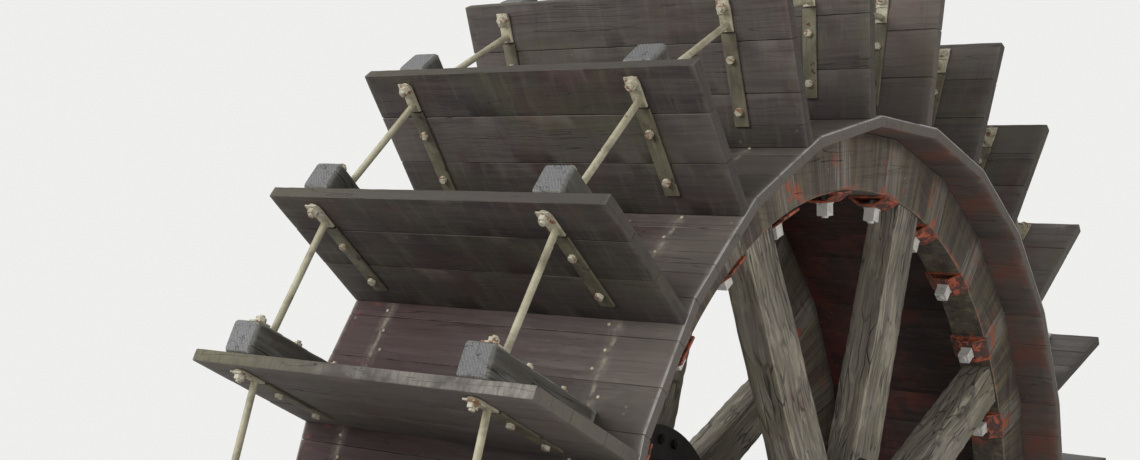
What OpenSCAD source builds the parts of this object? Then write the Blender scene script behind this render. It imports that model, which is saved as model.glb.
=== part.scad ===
// Timber water wheel with twenty-four radial floats on two arm-and-felloe rings,
// turning in cast-iron bearings on two stone piers. The axle lies along X.

/* [Wheel] */
// Distance from the axle's centre to the corners of the sole
sole_radius = 2109; // [1950:1:2200]
// Width of the wheel over the floats
wheel_width = 1615; // [1450:1:1900]
// Number of arms in each ring
arm_count = 8; // [6:1:9]
// Number of floats from one arm to the next
floats_per_arm = 3; // [2:1:3]
// Angle of the first start from upright, towards the front
rest_turn = 17.2; // [0:0.1:45]

/* [Floats and starts] */
// Height of a float from the corner of the sole to its outer edge
float_h = 634; // [560:1:720]
// Thickness of a float
float_t = 50; // [38:1:65]
// Depth of a start along the rim
start_depth = 130; // [100:1:150]
// Width of a start along the axle
start_w = 130; // [100:1:148]
// Thickness of the tail that goes through the felloe
tail_t = 60; // [45:1:75]
// Distance from the float's outer edge to the bolt of the stays
tip_bolt_inset = 64; // [55:1:90]
// Diameter of the middle and low bolts
float_bolt_d = 18; // [14:1:22]
// Width of the strap on the float's face
strap_w = 64; // [50:1:70]
// Thickness of the strap on the float's face
strap_t = 9; // [6:1:12]

/* [Rings] */
// Distance from the right end of the floats to the right starts
right_inset = 217; // [120:1:300]
// Distance from the left end of the floats to the left starts
left_inset = 147; // [120:1:300]
// Thickness of the sole boards
sole_t = 50; // [35:1:65]
// Depth of a felloe towards the axle
felloe_depth = 260; // [200:1:300]
// Thickness of a felloe along the axle
felloe_t = 180; // [160:1:200]
// Width of an arm at the felloe
arm_head_w = 215; // [170:1:240]
// Width of an arm at the hub
arm_root_w = 250; // [220:1:280]
// Thickness of an arm along the axle
arm_t = 150; // [120:1:150]
// Width of the tenon on the arm's head
tenon_w = 90; // [60:1:120]
// Thickness of the tenon on the arm's head
tenon_t = 50; // [40:1:70]

/* [Ironwork] */
// Diameter of a stay
stay_d = 28; // [22:1:32]
// Thickness of a stay's flattened foot
foot_t = 9; // [6:1:12]
// Width of a stay's flattened foot
foot_w = 56; // [45:1:65]
// Distance from the bolt to the middle of the stay
stay_set = 74; // [60:1:90]
// Diameter of the bolts through the starts
bolt_d = 22; // [18:1:26]
// Width of a square washer
washer_w = 58; // [48:1:60]
// Width of a saddle across the felloe
saddle_w = 194; // [180:1:220]
// Length of a saddle along the rim
saddle_l = 130; // [100:1:150]
// Height of a saddle under the felloe
saddle_h = 48; // [40:1:60]
// Thickness of a saddle's plates
saddle_t = 10; // [8:1:12]
// Width of the flat that the saddle's nut bears on
saddle_seat = 76; // [70:1:90]
// Diameter of the bolt that ties a start's tail to its saddle
tie_d = 30; // [24:1:36]
// Width of the square nut on a tie bolt
tie_nut_w = 52; // [48:1:56]
// Height of the square nut on a tie bolt
tie_nut_h = 54; // [30:1:60]

/* [Hubs and axle] */
// Width of the axle across its flats
axle_w = 460; // [400:1:480]
// Least space between neighbouring arm roots and the hub's boss
boss_margin = 68; // [50:1:100]
// Radius of the hub's flange
flange_r = 640; // [560:1:720]
// Thickness of the hub's flange
flange_t = 45; // [35:1:60]
// Thickness of the ribs between the arms
rib_t = 30; // [22:1:36]
// Diameter of the bolts through an arm's root
hub_bolt_d = 26; // [20:1:30]
// Distance of the hub bolts from the middle of an arm
hub_bolt_y = 62; // [55:1:70]
// Distance from the boss to the first hub bolt, and from the last one to the flange's edge
hub_bolt_inset = 72; // [60:1:85]
// Length of axle that stands out past the floats
axle_overhang = 30; // [20:1:50]
// Diameter of the turned ends of the axle
neck_d = 440; // [380:1:450]
// Length of the turned ends of the axle
neck_l = 115; // [110:1:118]
// Width of an axle hoop
hoop_w = 45; // [35:1:50]
// Thickness of an axle hoop
hoop_t = 12; // [8:1:16]
// Diameter of the gudgeon's journal
journal_d = 130; // [110:1:150]
// Length of gudgeon that stands out past the bearing
journal_tail = 110; // [80:1:140]
// Diameter of the gudgeon's coupling end
coupling_d = 100; // [80:1:108]

/* [Bearings] */
// Length of a bearing along the axle
bearing_l = 200; // [160:1:240]
// Wall of the brass
brass_t = 20; // [15:1:25]
// Thickness and height of the brass's collars
collar = 12; // [8:1:20]
// Running clearance round the journal
run_gap = 0.06; // [0.02:0.01:0.1]
// Height of the axle's centre above the bed stone
bearing_h = 260; // [240:1:320]
// Width of the bearing's foot
foot_l = 520; // [480:1:600]
// Thickness of the bearing's foot
foot_h = 55; // [45:1:70]
// Wall of the cap over the brass
cap_wall = 32; // [24:1:44]
// Thickness of the cap's ears
ear_t = 45; // [35:1:60]
// Diameter of the cap bolts
cap_bolt_d = 30; // [24:1:36]

/* [Piers] */
// Space between the floats and a pier
pier_gap = 90; // [70:1:150]
// Thickness of a pier along the axle
pier_t = 620; // [560:1:700]
// Length of a pier
pier_l = 1300; // [1100:1:1600]
// Thickness of the bed stone on a pier
bed_t = 220; // [180:1:280]
// Step of the pier's footing past its shaft
footing_step = 70; // [40:1:120]
// Height of the pier's footing
footing_h = 320; // [250:1:400]
// Space below the lowest float
float_clearance = 157; // [100:1:250]

/* [Hidden] */
// Gap left where round faces seat on each other
seat_gap = 0.3;
// Gap left where flat faces seat on each other at an angle round the wheel
rest_gap = 0.05;
// Gap between boards or segments that butt together
joint_gap = 1.5;
// Clearance round a bolt in its hole
bolt_gap = 0.5;
// Clearance round a tail or tenon in its mortise
tail_gap = 0.5;
// Extra length of a cut past the face it goes through
cut = 20;
// Thickness of a washer
washer_t = 6;
// Length of the nut in bolt diameters, and its width across the corners
nut_len = 0.85;
nut_wide = 1.9;
// Metal left between a cap bolt's nut and what stands beside it
bolt_edge = 8;
// Depth of a cap bolt in the bearing's pedestal
stud_depth = 85;
// Places of a start's middle and low bolts, as shares of the way from the stay's foot to the sole
bolt_shares = [0.24, 0.7];
// Height of the upright sides at the top of the pedestal, and the spread of its sloping sides
pedestal_side = 60;
pedestal_spread = 25;
// Length of the bearing's foot past its pedestal
foot_step = 30;
// Length of thread that stands past a nut
thread_out = 9;
// Length of journal between the brass's collar and the coupling end
journal_step = 10;
$fn = 64;

tip_radius = sole_radius + float_h;
float_count = arm_count * floats_per_arm;
pitch = 360 / float_count;
arm_pitch = 360 / arm_count;
axle_z = tip_radius + float_clearance;
sole_flat = sole_radius * cos(pitch / 2);
rim_flat = sole_flat - sole_t;
felloe_r = rim_flat - felloe_depth;
float_y = start_depth / 2;
float_face = -float_y - float_t;
foot_face = float_face - rest_gap - foot_t;
bolt_z = tip_radius - tip_bolt_inset;
stay_end = bolt_z - stay_set - stay_d;
strap_top = stay_end - strap_t;
strap_foot = low_bolt_z(1) - strap_w;
saddle_z = sqrt(felloe_r * felloe_r - saddle_l * saddle_l / 4);
boss_r = arm_root_w / 2 / tan(arm_pitch / 2) + boss_margin;
bearing_x = wheel_width / 2 + pier_gap + pier_t / 2;
axle_end = wheel_width / 2 + axle_overhang;
journal_end = bearing_x + bearing_l / 2 + journal_tail;
coupling_x = bearing_x + bearing_l / 2 + collar + journal_step;
brass_r = journal_d / 2 + run_gap + brass_t;
nut_h = nut_len * bolt_d;
cap_bolt_y = brass_r + cap_wall + nut_wide * cap_bolt_d / 2 + bolt_edge;
ear = cap_bolt_y + cap_bolt_d + bolt_edge;

// Height of a seat on the sole at a distance y from a start's centre line
function roof(y) = sole_radius + rest_gap - abs(y) * tan(pitch / 2);

// Middle of a ring along the axle, which its starts, felloes and arms share
function ring_x(inset) = wheel_width / 2 - inset - start_w / 2;

// Height of a start's middle bolt, numbered 0, and of its low one, numbered 1
function low_bolt_z(number) = stay_end - bolt_shares[number] * (stay_end - sole_radius);

// Place a piece drawn upright above the axle at an angle round the wheel
module turned(angle) {
    translate([0, 0, axle_z]) rotate([angle, 0, 0]) children();
}

// Repeat a piece on every start's centre line
module each_start() {
    for (i = [0 : float_count - 1]) turned(rest_turn + i * pitch) children();
}

// Repeat a piece on every arm's centre line, which is midway between two starts
module each_arm() {
    for (i = [0 : arm_count - 1]) turned(rest_turn + pitch / 2 + i * arm_pitch) children();
}

// Extrude a profile of Y and Z along X, from x0 to x1
module along_x(x0, x1) {
    translate([x0, 0, 0]) rotate([90, 0, 90]) linear_extrude(x1 - x0) children();
}

// A cylinder along X, from x0 to x1
module rod_x(x0, x1, d) {
    translate([x0, 0, 0]) rotate([0, 90, 0]) cylinder(h = x1 - x0, d = d);
}

// A cylinder along Y, from y0 to y1
module rod_y(y0, y1, d) {
    translate([0, y0, 0]) rotate([-90, 0, 0]) cylinder(h = y1 - y0, d = d);
}

// Axle and gudgeons
module axle() {
    color("#5b5040") translate([0, 0, axle_z]) {
        body = axle_end - neck_l;
        along_x(-body, body) rotate(22.5) circle(d = axle_w / cos(22.5), $fn = 8);
        for (x = [-axle_end, body]) rod_x(x, x + neck_l, neck_d);
    }
}

module axle_hoops() {
    color("#3a3633") translate([0, 0, axle_z])
        for (side = [-1, 1], step = [0, 1]) {
            x = side * (axle_end - hoop_w / 2 - 8 - step * (hoop_w + 12));
            difference() {
                rod_x(x - hoop_w / 2, x + hoop_w / 2, neck_d + 2 * seat_gap + 2 * hoop_t);
                rod_x(x - hoop_w, x + hoop_w, neck_d + 2 * seat_gap);
            }
        }
}

module gudgeon() {
    color("#3a3633") translate([0, 0, axle_z]) {
        rod_x(axle_end, coupling_x, journal_d);
        rod_x(axle_end, journal_end, coupling_d);
        rod_x(axle_end, axle_end + 35, neck_d - 90);
        for (turn = [0 : 45 : 135]) rotate([turn, 0, 0])
            along_x(axle_end + 35, axle_end + 60) square([neck_d - 130, 26], center = true);
    }
}

// Hubs: a boss on the axle, a flange behind the arms and ribs between them
module hub(inset) {
    face = ring_x(inset) + arm_t / 2;
    color("#46403a") translate([0, 0, axle_z]) difference() {
        union() {
            rod_x(face - arm_t - flange_t, face, 2 * boss_r);
            rod_x(face - arm_t - flange_t, face - arm_t, 2 * flange_r);
            for (i = [0 : arm_count - 1])
                rotate([rest_turn + pitch / 2 + (i + 0.5) * arm_pitch, 0, 0])
                    along_x(face - arm_t - 1, face - arm_t / 4) hub_rib();
        }
        along_x(face - 2 * arm_t, face + cut)
            rotate(22.5) circle(d = (axle_w + 2 * seat_gap) / cos(22.5), $fn = 8);
        each_hub_bolt() rod_x(face - 2 * arm_t, face - arm_t + cut, hub_bolt_d + 2 * bolt_gap);
    }
}

module hub_rib() {
    polygon([[-rib_t / 2, boss_r - cut], [rib_t / 2, boss_r - cut],
        [rib_t / 2, flange_r - 2 * rib_t], [-rib_t / 2, flange_r - 2 * rib_t]]);
}

// Repeat a piece on the four hub bolts of every arm, seen from the axle's centre
module each_hub_bolt() {
    for (i = [0 : arm_count - 1]) rotate([rest_turn + pitch / 2 + i * arm_pitch, 0, 0])
        for (y = [-hub_bolt_y, hub_bolt_y], z = [boss_r + hub_bolt_inset, flange_r - hub_bolt_inset])
            translate([0, y, z]) children();
}

// Hub bolts: through an arm's root and the flange behind it
module hub_bolt_ring(inset) {
    face = ring_x(inset) + arm_t / 2;
    back = face - arm_t - flange_t;
    hub_nut = nut_len * hub_bolt_d;
    color("#3a3633") translate([0, 0, axle_z]) each_hub_bolt() {
        rod_x(back - hub_nut - thread_out, face + washer_t + hub_nut, hub_bolt_d);
        rod_x(face, face + washer_t, 2 * nut_wide * hub_bolt_d / sqrt(3));
        for (x = [back - hub_nut, face + washer_t])
            translate([x, 0, 0]) rotate([0, 90, 0])
                cylinder(h = hub_nut, d = nut_wide * hub_bolt_d, $fn = 6);
    }
}

// Arms: tapered oak timbers with a tenon that goes through the felloe joint
module arm_ring(inset) {
    face = ring_x(inset) + arm_t / 2;
    color("#6f6a55") difference() {
        arm_timbers(face);
        translate([0, 0, axle_z]) each_hub_bolt()
            rod_x(face - arm_t - cut, face + cut, hub_bolt_d + 2 * bolt_gap);
    }
}

module arm_timbers(face) {
    each_arm() {
        difference() {
            along_x(face - arm_t, face) polygon([
                [-arm_root_w / 2, boss_r - cut], [arm_root_w / 2, boss_r - cut],
                [arm_head_w / 2, felloe_r + cut], [-arm_head_w / 2, felloe_r + cut]]);
            rod_x(face - 2 * arm_t, face + cut, 2 * (boss_r + seat_gap));
            arm_shoulder(face);
        }
        tenon_x = face - (arm_t + tenon_t) / 2;
        translate([tenon_x, -tenon_w / 2, felloe_r - cut])
            cube([tenon_t, tenon_w, rim_flat - felloe_r + cut]);
    }
}

// The waste outside the felloe's round inner face, cut from an arm's head
module arm_shoulder(face) {
    difference() {
        translate([face - 2 * arm_t, -arm_root_w, felloe_r * cos(arm_pitch / 2)])
            cube([3 * arm_t, 2 * arm_root_w, felloe_depth + cut]);
        rod_x(face - 3 * arm_t, face + 2 * arm_t, 2 * (felloe_r - seat_gap));
    }
}

// Felloes: one segment from arm to arm, mortised for the tails of the starts
module felloe_ring(inset) {
    mid = ring_x(inset);
    color("#6b6750") each_arm() difference() {
        along_x(mid - felloe_t / 2, mid + felloe_t / 2) felloe_shape();
        rod_x(mid - felloe_t, mid + felloe_t, 2 * felloe_r);
        for (k = [0 : floats_per_arm - 1]) rotate([-(k + 0.5) * pitch, 0, 0])
            mortise(mid, tail_t, start_depth, felloe_r / 2);
        for (end = [0, 1]) rotate([-end * arm_pitch, 0, 0]) {
            translate([mid - felloe_t, -joint_gap / 2, 0])
                cube([2 * felloe_t, joint_gap, sole_radius]);
            mortise(mid, tenon_t, tenon_w, felloe_r / 2);
        }
    }
}

module felloe_shape() {
    rim = rim_flat - rest_gap;
    corners = [for (k = [0 : floats_per_arm - 1])
        rim / cos(pitch / 2) * [sin((k + 0.5) * pitch), cos((k + 0.5) * pitch)]];
    polygon(concat([[0, felloe_r / 2], [0, rim]], corners,
        [rim * [sin(arm_pitch), cos(arm_pitch)],
            felloe_r / 2 * [sin(arm_pitch), cos(arm_pitch)]]));
}

// A square hole from low outwards for a tongue of that thickness and width
module mortise(mid, thick, width, low) {
    size = [thick + 2 * tail_gap, width + 2 * tail_gap, sole_radius];
    translate([mid - size.x / 2, -size.y / 2, low]) cube(size);
}

// Sole: a flat length of boarding from each start to the next
module sole() {
    color("#5f4d40") for (i = [0 : float_count - 1]) turned(rest_turn + (i + 0.5) * pitch)
        difference() {
            along_x(-wheel_width / 2, wheel_width / 2) sole_shape();
            for (end = [-1, 1]) rotate([end * pitch / 2, 0, 0])
                for (x = [ring_x(right_inset), -ring_x(left_inset)])
                    mortise(x, tail_t, start_depth, rim_flat - cut);
        }
}

module sole_shape() {
    outer = sole_flat * tan(pitch / 2) - joint_gap / 2;
    inner = rim_flat * tan(pitch / 2) - joint_gap / 2;
    polygon([[-inner, rim_flat], [inner, rim_flat], [outer, sole_flat], [-outer, sole_flat]]);
}

// Floats, each bolted to the faces of its two starts
module floats() {
    color("#54483f") each_start() difference() {
        along_x(-wheel_width / 2, wheel_width / 2) polygon([
            [-float_y, roof(float_y)], [-float_y, tip_radius],
            [float_face, tip_radius], [float_face, roof(float_face)]]);
        for (x = [ring_x(right_inset), -ring_x(left_inset)]) start_bolt_holes(x);
    }
}

// Holes for the three bolts through a float, a start and what lies on them
module start_bolt_holes(x) {
    reach = cut - float_face;
    translate([x, 0, bolt_z]) rod_y(-reach, reach, bolt_d + 2 * bolt_gap);
    for (number = [0, 1]) translate([x, 0, low_bolt_z(number)])
        rod_y(-reach, reach, float_bolt_d + 2 * bolt_gap);
}

// Starts: a square post on the sole, with a tail that goes through the sole and the felloe
module start_ring(inset) {
    mid = ring_x(inset);
    half = start_depth / 2;
    color("#77756c") each_start() difference() {
        union() {
            along_x(mid - start_w / 2, mid + start_w / 2) polygon([
                [-half, tip_radius], [-half, roof(half)],
                [0, roof(0)], [half, roof(half)], [half, tip_radius]]);
            translate([mid - tail_t / 2, -half, saddle_z])
                cube([tail_t, start_depth, sole_radius - saddle_z]);
        }
        start_bolt_holes(mid);
        translate([mid, 0, saddle_z - cut])
            cylinder(h = 2 * cut + felloe_depth / 2, d = tie_d + 2 * bolt_gap);
    }
}

// Stays: a round bar from the foot on each start's back to the foot on the next float
module stay_ring(inset) {
    root = [float_y, bolt_z - stay_set];
    head = turn_back([float_face, bolt_z - stay_set]);
    run = head - root;
    color("#cfc8b0") each_start() translate([ring_x(inset), 0, 0]) difference() {
        translate([0, root.x, root.y]) rotate([-atan2(run.x, run.y), 0, 0])
            cylinder(h = norm(run), d = stay_d);
        stay_waste(float_y + foot_t - 2 * cut);
        rotate([-pitch, 0, 0]) stay_waste(foot_face);
    }
}

// A point of Y and Z on the next start's centre line, seen from this one
function turn_back(p) = [p.x * cos(pitch) + p.y * sin(pitch), p.y * cos(pitch) - p.x * sin(pitch)];

// What is cut off a stay so that it ends on the face of its foot
module stay_waste(y) {
    translate([-foot_w, y, bolt_z - stay_set - foot_w]) cube([2 * foot_w, 2 * cut, 2 * foot_w]);
}

// Feet of the stays: a plate with a round end under each nut of a start's through-bolt
module stay_foot_ring(inset) {
    color("#cfc8b0") each_start() translate([ring_x(inset), 0, 0]) {
        stay_foot(float_y);
        rotate([-pitch, 0, 0]) stay_foot(foot_face);
    }
}

module stay_foot(y) {
    difference() {
        translate([0, y, bolt_z]) {
            rod_y(0, foot_t, foot_w);
            translate([-foot_w / 2, 0, -stay_set - stay_d]) cube([foot_w, foot_t, stay_set + stay_d]);
        }
        translate([0, 0, bolt_z]) rod_y(y - cut, y + foot_t + cut, bolt_d + 2 * bolt_gap);
    }
}

// Through-bolts that hold the float, the start and the feet of two stays
module start_bolt_ring(inset) {
    x = ring_x(inset);
    back = float_y + foot_t;
    front = foot_face - rest_gap;
    reach = washer_t + nut_h;
    color("#cfc8b0") each_start() translate([x, 0, bolt_z]) {
        rod_y(front - reach - thread_out, back + reach + thread_out, bolt_d);
        for (y = [back, front - washer_t])
            translate([-washer_w / 2, y, -washer_w / 2]) cube([washer_w, washer_t, washer_w]);
        for (y = [back + washer_t, front - reach])
            translate([0, y, 0]) rotate([-90, 0, 0]) cylinder(h = nut_h, d = nut_wide * bolt_d, $fn = 6);
    }
}

// Straps on the floats' faces, under the heads of the middle and low bolts
module float_strap_ring(inset) {
    x = ring_x(inset);
    color("#8a8474") each_start() difference() {
        translate([x - strap_w / 2, float_face - strap_t, strap_foot])
            cube([strap_w, strap_t, strap_top - strap_foot]);
        start_bolt_holes(x);
    }
}

// Middle and low bolts through a strap, a float and a start
module float_bolt_ring(inset) {
    front = float_face - strap_t;
    bolt_nut = nut_len * float_bolt_d;
    color("#cfc8b0") each_start()
        for (number = [0, 1]) translate([ring_x(inset), 0, low_bolt_z(number)]) {
            rod_y(front - bolt_nut, float_y + washer_t + bolt_nut + thread_out, float_bolt_d);
            translate([-washer_w / 2, float_y, -washer_w / 2]) cube([washer_w, washer_t, washer_w]);
            for (y = [front - bolt_nut, float_y + washer_t]) translate([0, y, 0])
                rotate([-90, 0, 0]) cylinder(h = bolt_nut, d = nut_wide * float_bolt_d, $fn = 6);
        }
}

// Saddles: a plate under the felloe at each start, with a bridge down to the tie bolt's nut
module saddle_ring(inset) {
    color("#b4583a") each_start() translate([ring_x(inset), 0, saddle_z]) difference() {
        rotate([90, 0, 0]) linear_extrude(saddle_l, center = true) saddle_shape();
        translate([0, 0, -2 * saddle_h]) cylinder(h = 3 * saddle_h, d = tie_d + 2 * bolt_gap);
    }
}

module saddle_shape() {
    edge = saddle_w / 2;
    seat = saddle_seat / 2;
    slope = (edge - seat) / (saddle_h - saddle_t);
    wall = saddle_t * sqrt(1 + slope * slope);
    inner_seat = seat + slope * saddle_t - wall;
    difference() {
        polygon([[-edge, 0], [edge, 0], [edge, -saddle_t],
            [seat, -saddle_h], [-seat, -saddle_h], [-edge, -saddle_t]]);
        polygon([[wall - edge, -saddle_t], [edge - wall, -saddle_t],
            [inner_seat, saddle_t - saddle_h], [-inner_seat, saddle_t - saddle_h]]);
    }
}

// Tie bolts: a plate, a square nut and a stud that draw a start's tail down on its saddle
module tie_bolt_ring(inset) {
    seat = saddle_z - saddle_h - washer_t;
    color("#d8d3c4") each_start() translate([ring_x(inset), 0, seat]) {
        translate([-washer_w / 2, -washer_w / 2, 0]) cube([washer_w, washer_w, washer_t]);
        translate([-tie_nut_w / 2, -tie_nut_w / 2, -tie_nut_h])
            cube([tie_nut_w, tie_nut_w, tie_nut_h]);
        translate([0, 0, -tie_nut_h - thread_out])
            cylinder(h = tie_nut_h + thread_out + saddle_h + felloe_depth / 2, d = tie_d);
    }
}

// Bearings: a pedestal with a brass, a cap and two cap bolts
module brass() {
    color("#a98a45") translate([bearing_x, 0, axle_z]) difference() {
        union() {
            rod_x(-bearing_l / 2, bearing_l / 2, 2 * brass_r);
            for (x = [-bearing_l / 2 - collar, bearing_l / 2])
                rod_x(x, x + collar, 2 * (brass_r + collar));
        }
        rod_x(-bearing_l, bearing_l, journal_d + 2 * run_gap);
    }
}

module bearing() {
    low = foot_h - bearing_h;
    half = bearing_l / 2 - seat_gap;
    color("#3d3a37") translate([bearing_x, 0, axle_z]) difference() {
        union() {
            translate([-bearing_l / 2 - foot_step, -foot_l / 2, -bearing_h])
                cube([bearing_l + 2 * foot_step, foot_l, foot_h]);
            along_x(-half, half) polygon([
                [-ear - pedestal_spread, low - 1], [ear + pedestal_spread, low - 1],
                [ear, -pedestal_side], [ear, 0], [-ear, 0], [-ear, -pedestal_side]]);
        }
        rod_x(-bearing_l, bearing_l, 2 * (brass_r + seat_gap));
        cap_bolt_holes(-stud_depth - seat_gap, cut);
    }
}

module cap_bolt_holes(z0, z1) {
    for (y = [-1, 1]) translate([0, y * cap_bolt_y, z0])
        cylinder(h = z1 - z0, d = cap_bolt_d + 2 * bolt_gap);
}

module bearing_cap() {
    half = bearing_l / 2 - seat_gap;
    color("#3d3a37") translate([bearing_x, 0, axle_z]) difference() {
        union() {
            rod_x(-half, half, 2 * (brass_r + cap_wall));
            translate([-half, -ear, 0]) cube([2 * half, 2 * ear, ear_t]);
        }
        translate([-bearing_l, -2 * ear, -2 * ear]) cube([2 * bearing_l, 4 * ear, 2 * ear]);
        rod_x(-bearing_l, bearing_l, 2 * (brass_r + seat_gap));
        cap_bolt_holes(-cut, ear_t + cut);
    }
}

module cap_bolts() {
    color("#3a3633") for (y = [-1, 1]) translate([bearing_x, y * cap_bolt_y, axle_z]) {
        translate([0, 0, -stud_depth])
            cylinder(h = stud_depth + ear_t + cap_bolt_d + thread_out, d = cap_bolt_d);
        translate([0, 0, ear_t]) cylinder(h = cap_bolt_d, d = nut_wide * cap_bolt_d, $fn = 6);
    }
}

// Piers of squared stone, with a bed stone under each bearing
module bed_stone() {
    top = axle_z - bearing_h;
    color("#9a9484") translate([bearing_x - pier_t / 2, -pier_l / 2, top - bed_t])
        cube([pier_t, pier_l, bed_t]);
}

module pier() {
    top = axle_z - bearing_h - bed_t;
    color("#8d8878") {
        translate([bearing_x - pier_t / 2, -pier_l / 2, footing_h])
            cube([pier_t, pier_l, top - footing_h]);
        translate([bearing_x - pier_t / 2, -pier_l / 2 - footing_step, 0])
            cube([pier_t + footing_step, pier_l + 2 * footing_step, footing_h]);
    }
}

axle();
axle_hoops();
gudgeon();  // gudgeon_right
mirror([1, 0, 0]) gudgeon();  // gudgeon_left
hub(right_inset);  // hub_right
mirror([1, 0, 0]) hub(left_inset);  // hub_left
arm_ring(right_inset);  // arms_right
mirror([1, 0, 0]) arm_ring(left_inset);  // arms_left
felloe_ring(right_inset);  // felloes_right
mirror([1, 0, 0]) felloe_ring(left_inset);  // felloes_left
sole();
floats();
start_ring(right_inset);  // starts_right
mirror([1, 0, 0]) start_ring(left_inset);  // starts_left
stay_ring(right_inset);  // stays_right
mirror([1, 0, 0]) stay_ring(left_inset);  // stays_left
stay_foot_ring(right_inset);  // stay_feet_right
mirror([1, 0, 0]) stay_foot_ring(left_inset);  // stay_feet_left
start_bolt_ring(right_inset);  // start_bolts_right
mirror([1, 0, 0]) start_bolt_ring(left_inset);  // start_bolts_left
float_strap_ring(right_inset);  // float_straps_right
mirror([1, 0, 0]) float_strap_ring(left_inset);  // float_straps_left
float_bolt_ring(right_inset);  // float_bolts_right
mirror([1, 0, 0]) float_bolt_ring(left_inset);  // float_bolts_left
saddle_ring(right_inset);  // saddles_right
mirror([1, 0, 0]) saddle_ring(left_inset);  // saddles_left
tie_bolt_ring(right_inset);  // tie_bolts_right
mirror([1, 0, 0]) tie_bolt_ring(left_inset);  // tie_bolts_left
hub_bolt_ring(right_inset);  // hub_bolts_right
mirror([1, 0, 0]) hub_bolt_ring(left_inset);  // hub_bolts_left
brass();  // brass_right
mirror([1, 0, 0]) brass();  // brass_left
bearing();  // bearing_right
mirror([1, 0, 0]) bearing();  // bearing_left
bearing_cap();  // bearing_cap_right
mirror([1, 0, 0]) bearing_cap();  // bearing_cap_left
cap_bolts();  // cap_bolts_right
mirror([1, 0, 0]) cap_bolts();  // cap_bolts_left
bed_stone();  // bed_stone_right
mirror([1, 0, 0]) bed_stone();  // bed_stone_left
pier();  // pier_right
mirror([1, 0, 0]) pier();  // pier_left
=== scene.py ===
"""The looks of a timber water wheel with twenty-four floats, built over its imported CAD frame."""

import logging
import math
import random
from dataclasses import dataclass, field
from enum import Enum
from typing import Callable, Iterable, Sequence

import bpy
import numpy as np
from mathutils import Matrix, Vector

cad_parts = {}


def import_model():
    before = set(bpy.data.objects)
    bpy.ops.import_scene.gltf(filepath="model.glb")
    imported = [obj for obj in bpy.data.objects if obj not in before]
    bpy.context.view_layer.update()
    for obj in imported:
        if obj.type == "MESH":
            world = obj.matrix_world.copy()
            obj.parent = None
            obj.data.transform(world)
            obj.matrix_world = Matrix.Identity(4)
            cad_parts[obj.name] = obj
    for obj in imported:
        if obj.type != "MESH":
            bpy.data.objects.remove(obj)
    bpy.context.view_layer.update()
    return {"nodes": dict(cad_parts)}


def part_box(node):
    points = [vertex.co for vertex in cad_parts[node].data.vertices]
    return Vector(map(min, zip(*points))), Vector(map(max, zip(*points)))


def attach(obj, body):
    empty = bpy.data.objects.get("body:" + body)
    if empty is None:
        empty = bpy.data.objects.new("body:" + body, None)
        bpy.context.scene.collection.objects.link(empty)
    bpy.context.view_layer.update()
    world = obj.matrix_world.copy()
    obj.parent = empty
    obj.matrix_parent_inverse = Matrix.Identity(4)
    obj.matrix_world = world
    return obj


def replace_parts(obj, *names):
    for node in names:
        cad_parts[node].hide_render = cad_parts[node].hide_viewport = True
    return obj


log = logging.getLogger("water_wheel")

Colour = tuple[float, float, float, float]
Point = tuple[float, float, float]
Faces = list[tuple[int, ...]]


def srgb(text: str) -> Colour:
    """Turn a written colour into the linear colour that shaders use.

    Args:
        text: Six hexadecimal digits, red first.

    Returns:
        Red, green, blue and an alpha of 1.
    """
    parts = [int(text[i:i + 2], 16) / 255 for i in (0, 2, 4)]
    linear = [c / 12.92 if c <= 0.04045 else ((c + 0.055) / 1.055) ** 2.4 for c in parts]
    return (linear[0], linear[1], linear[2], 1.0)


class Side(Enum):
    """The two ends of the axle, each with its ring and its pier."""

    RIGHT = "right"
    LEFT = "left"

    def pick(self, right: float, left: float) -> float:
        """Choose one of two values by the side."""
        return right if self is Side.RIGHT else left


# ---------------------------------------------------------------- sizes


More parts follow.
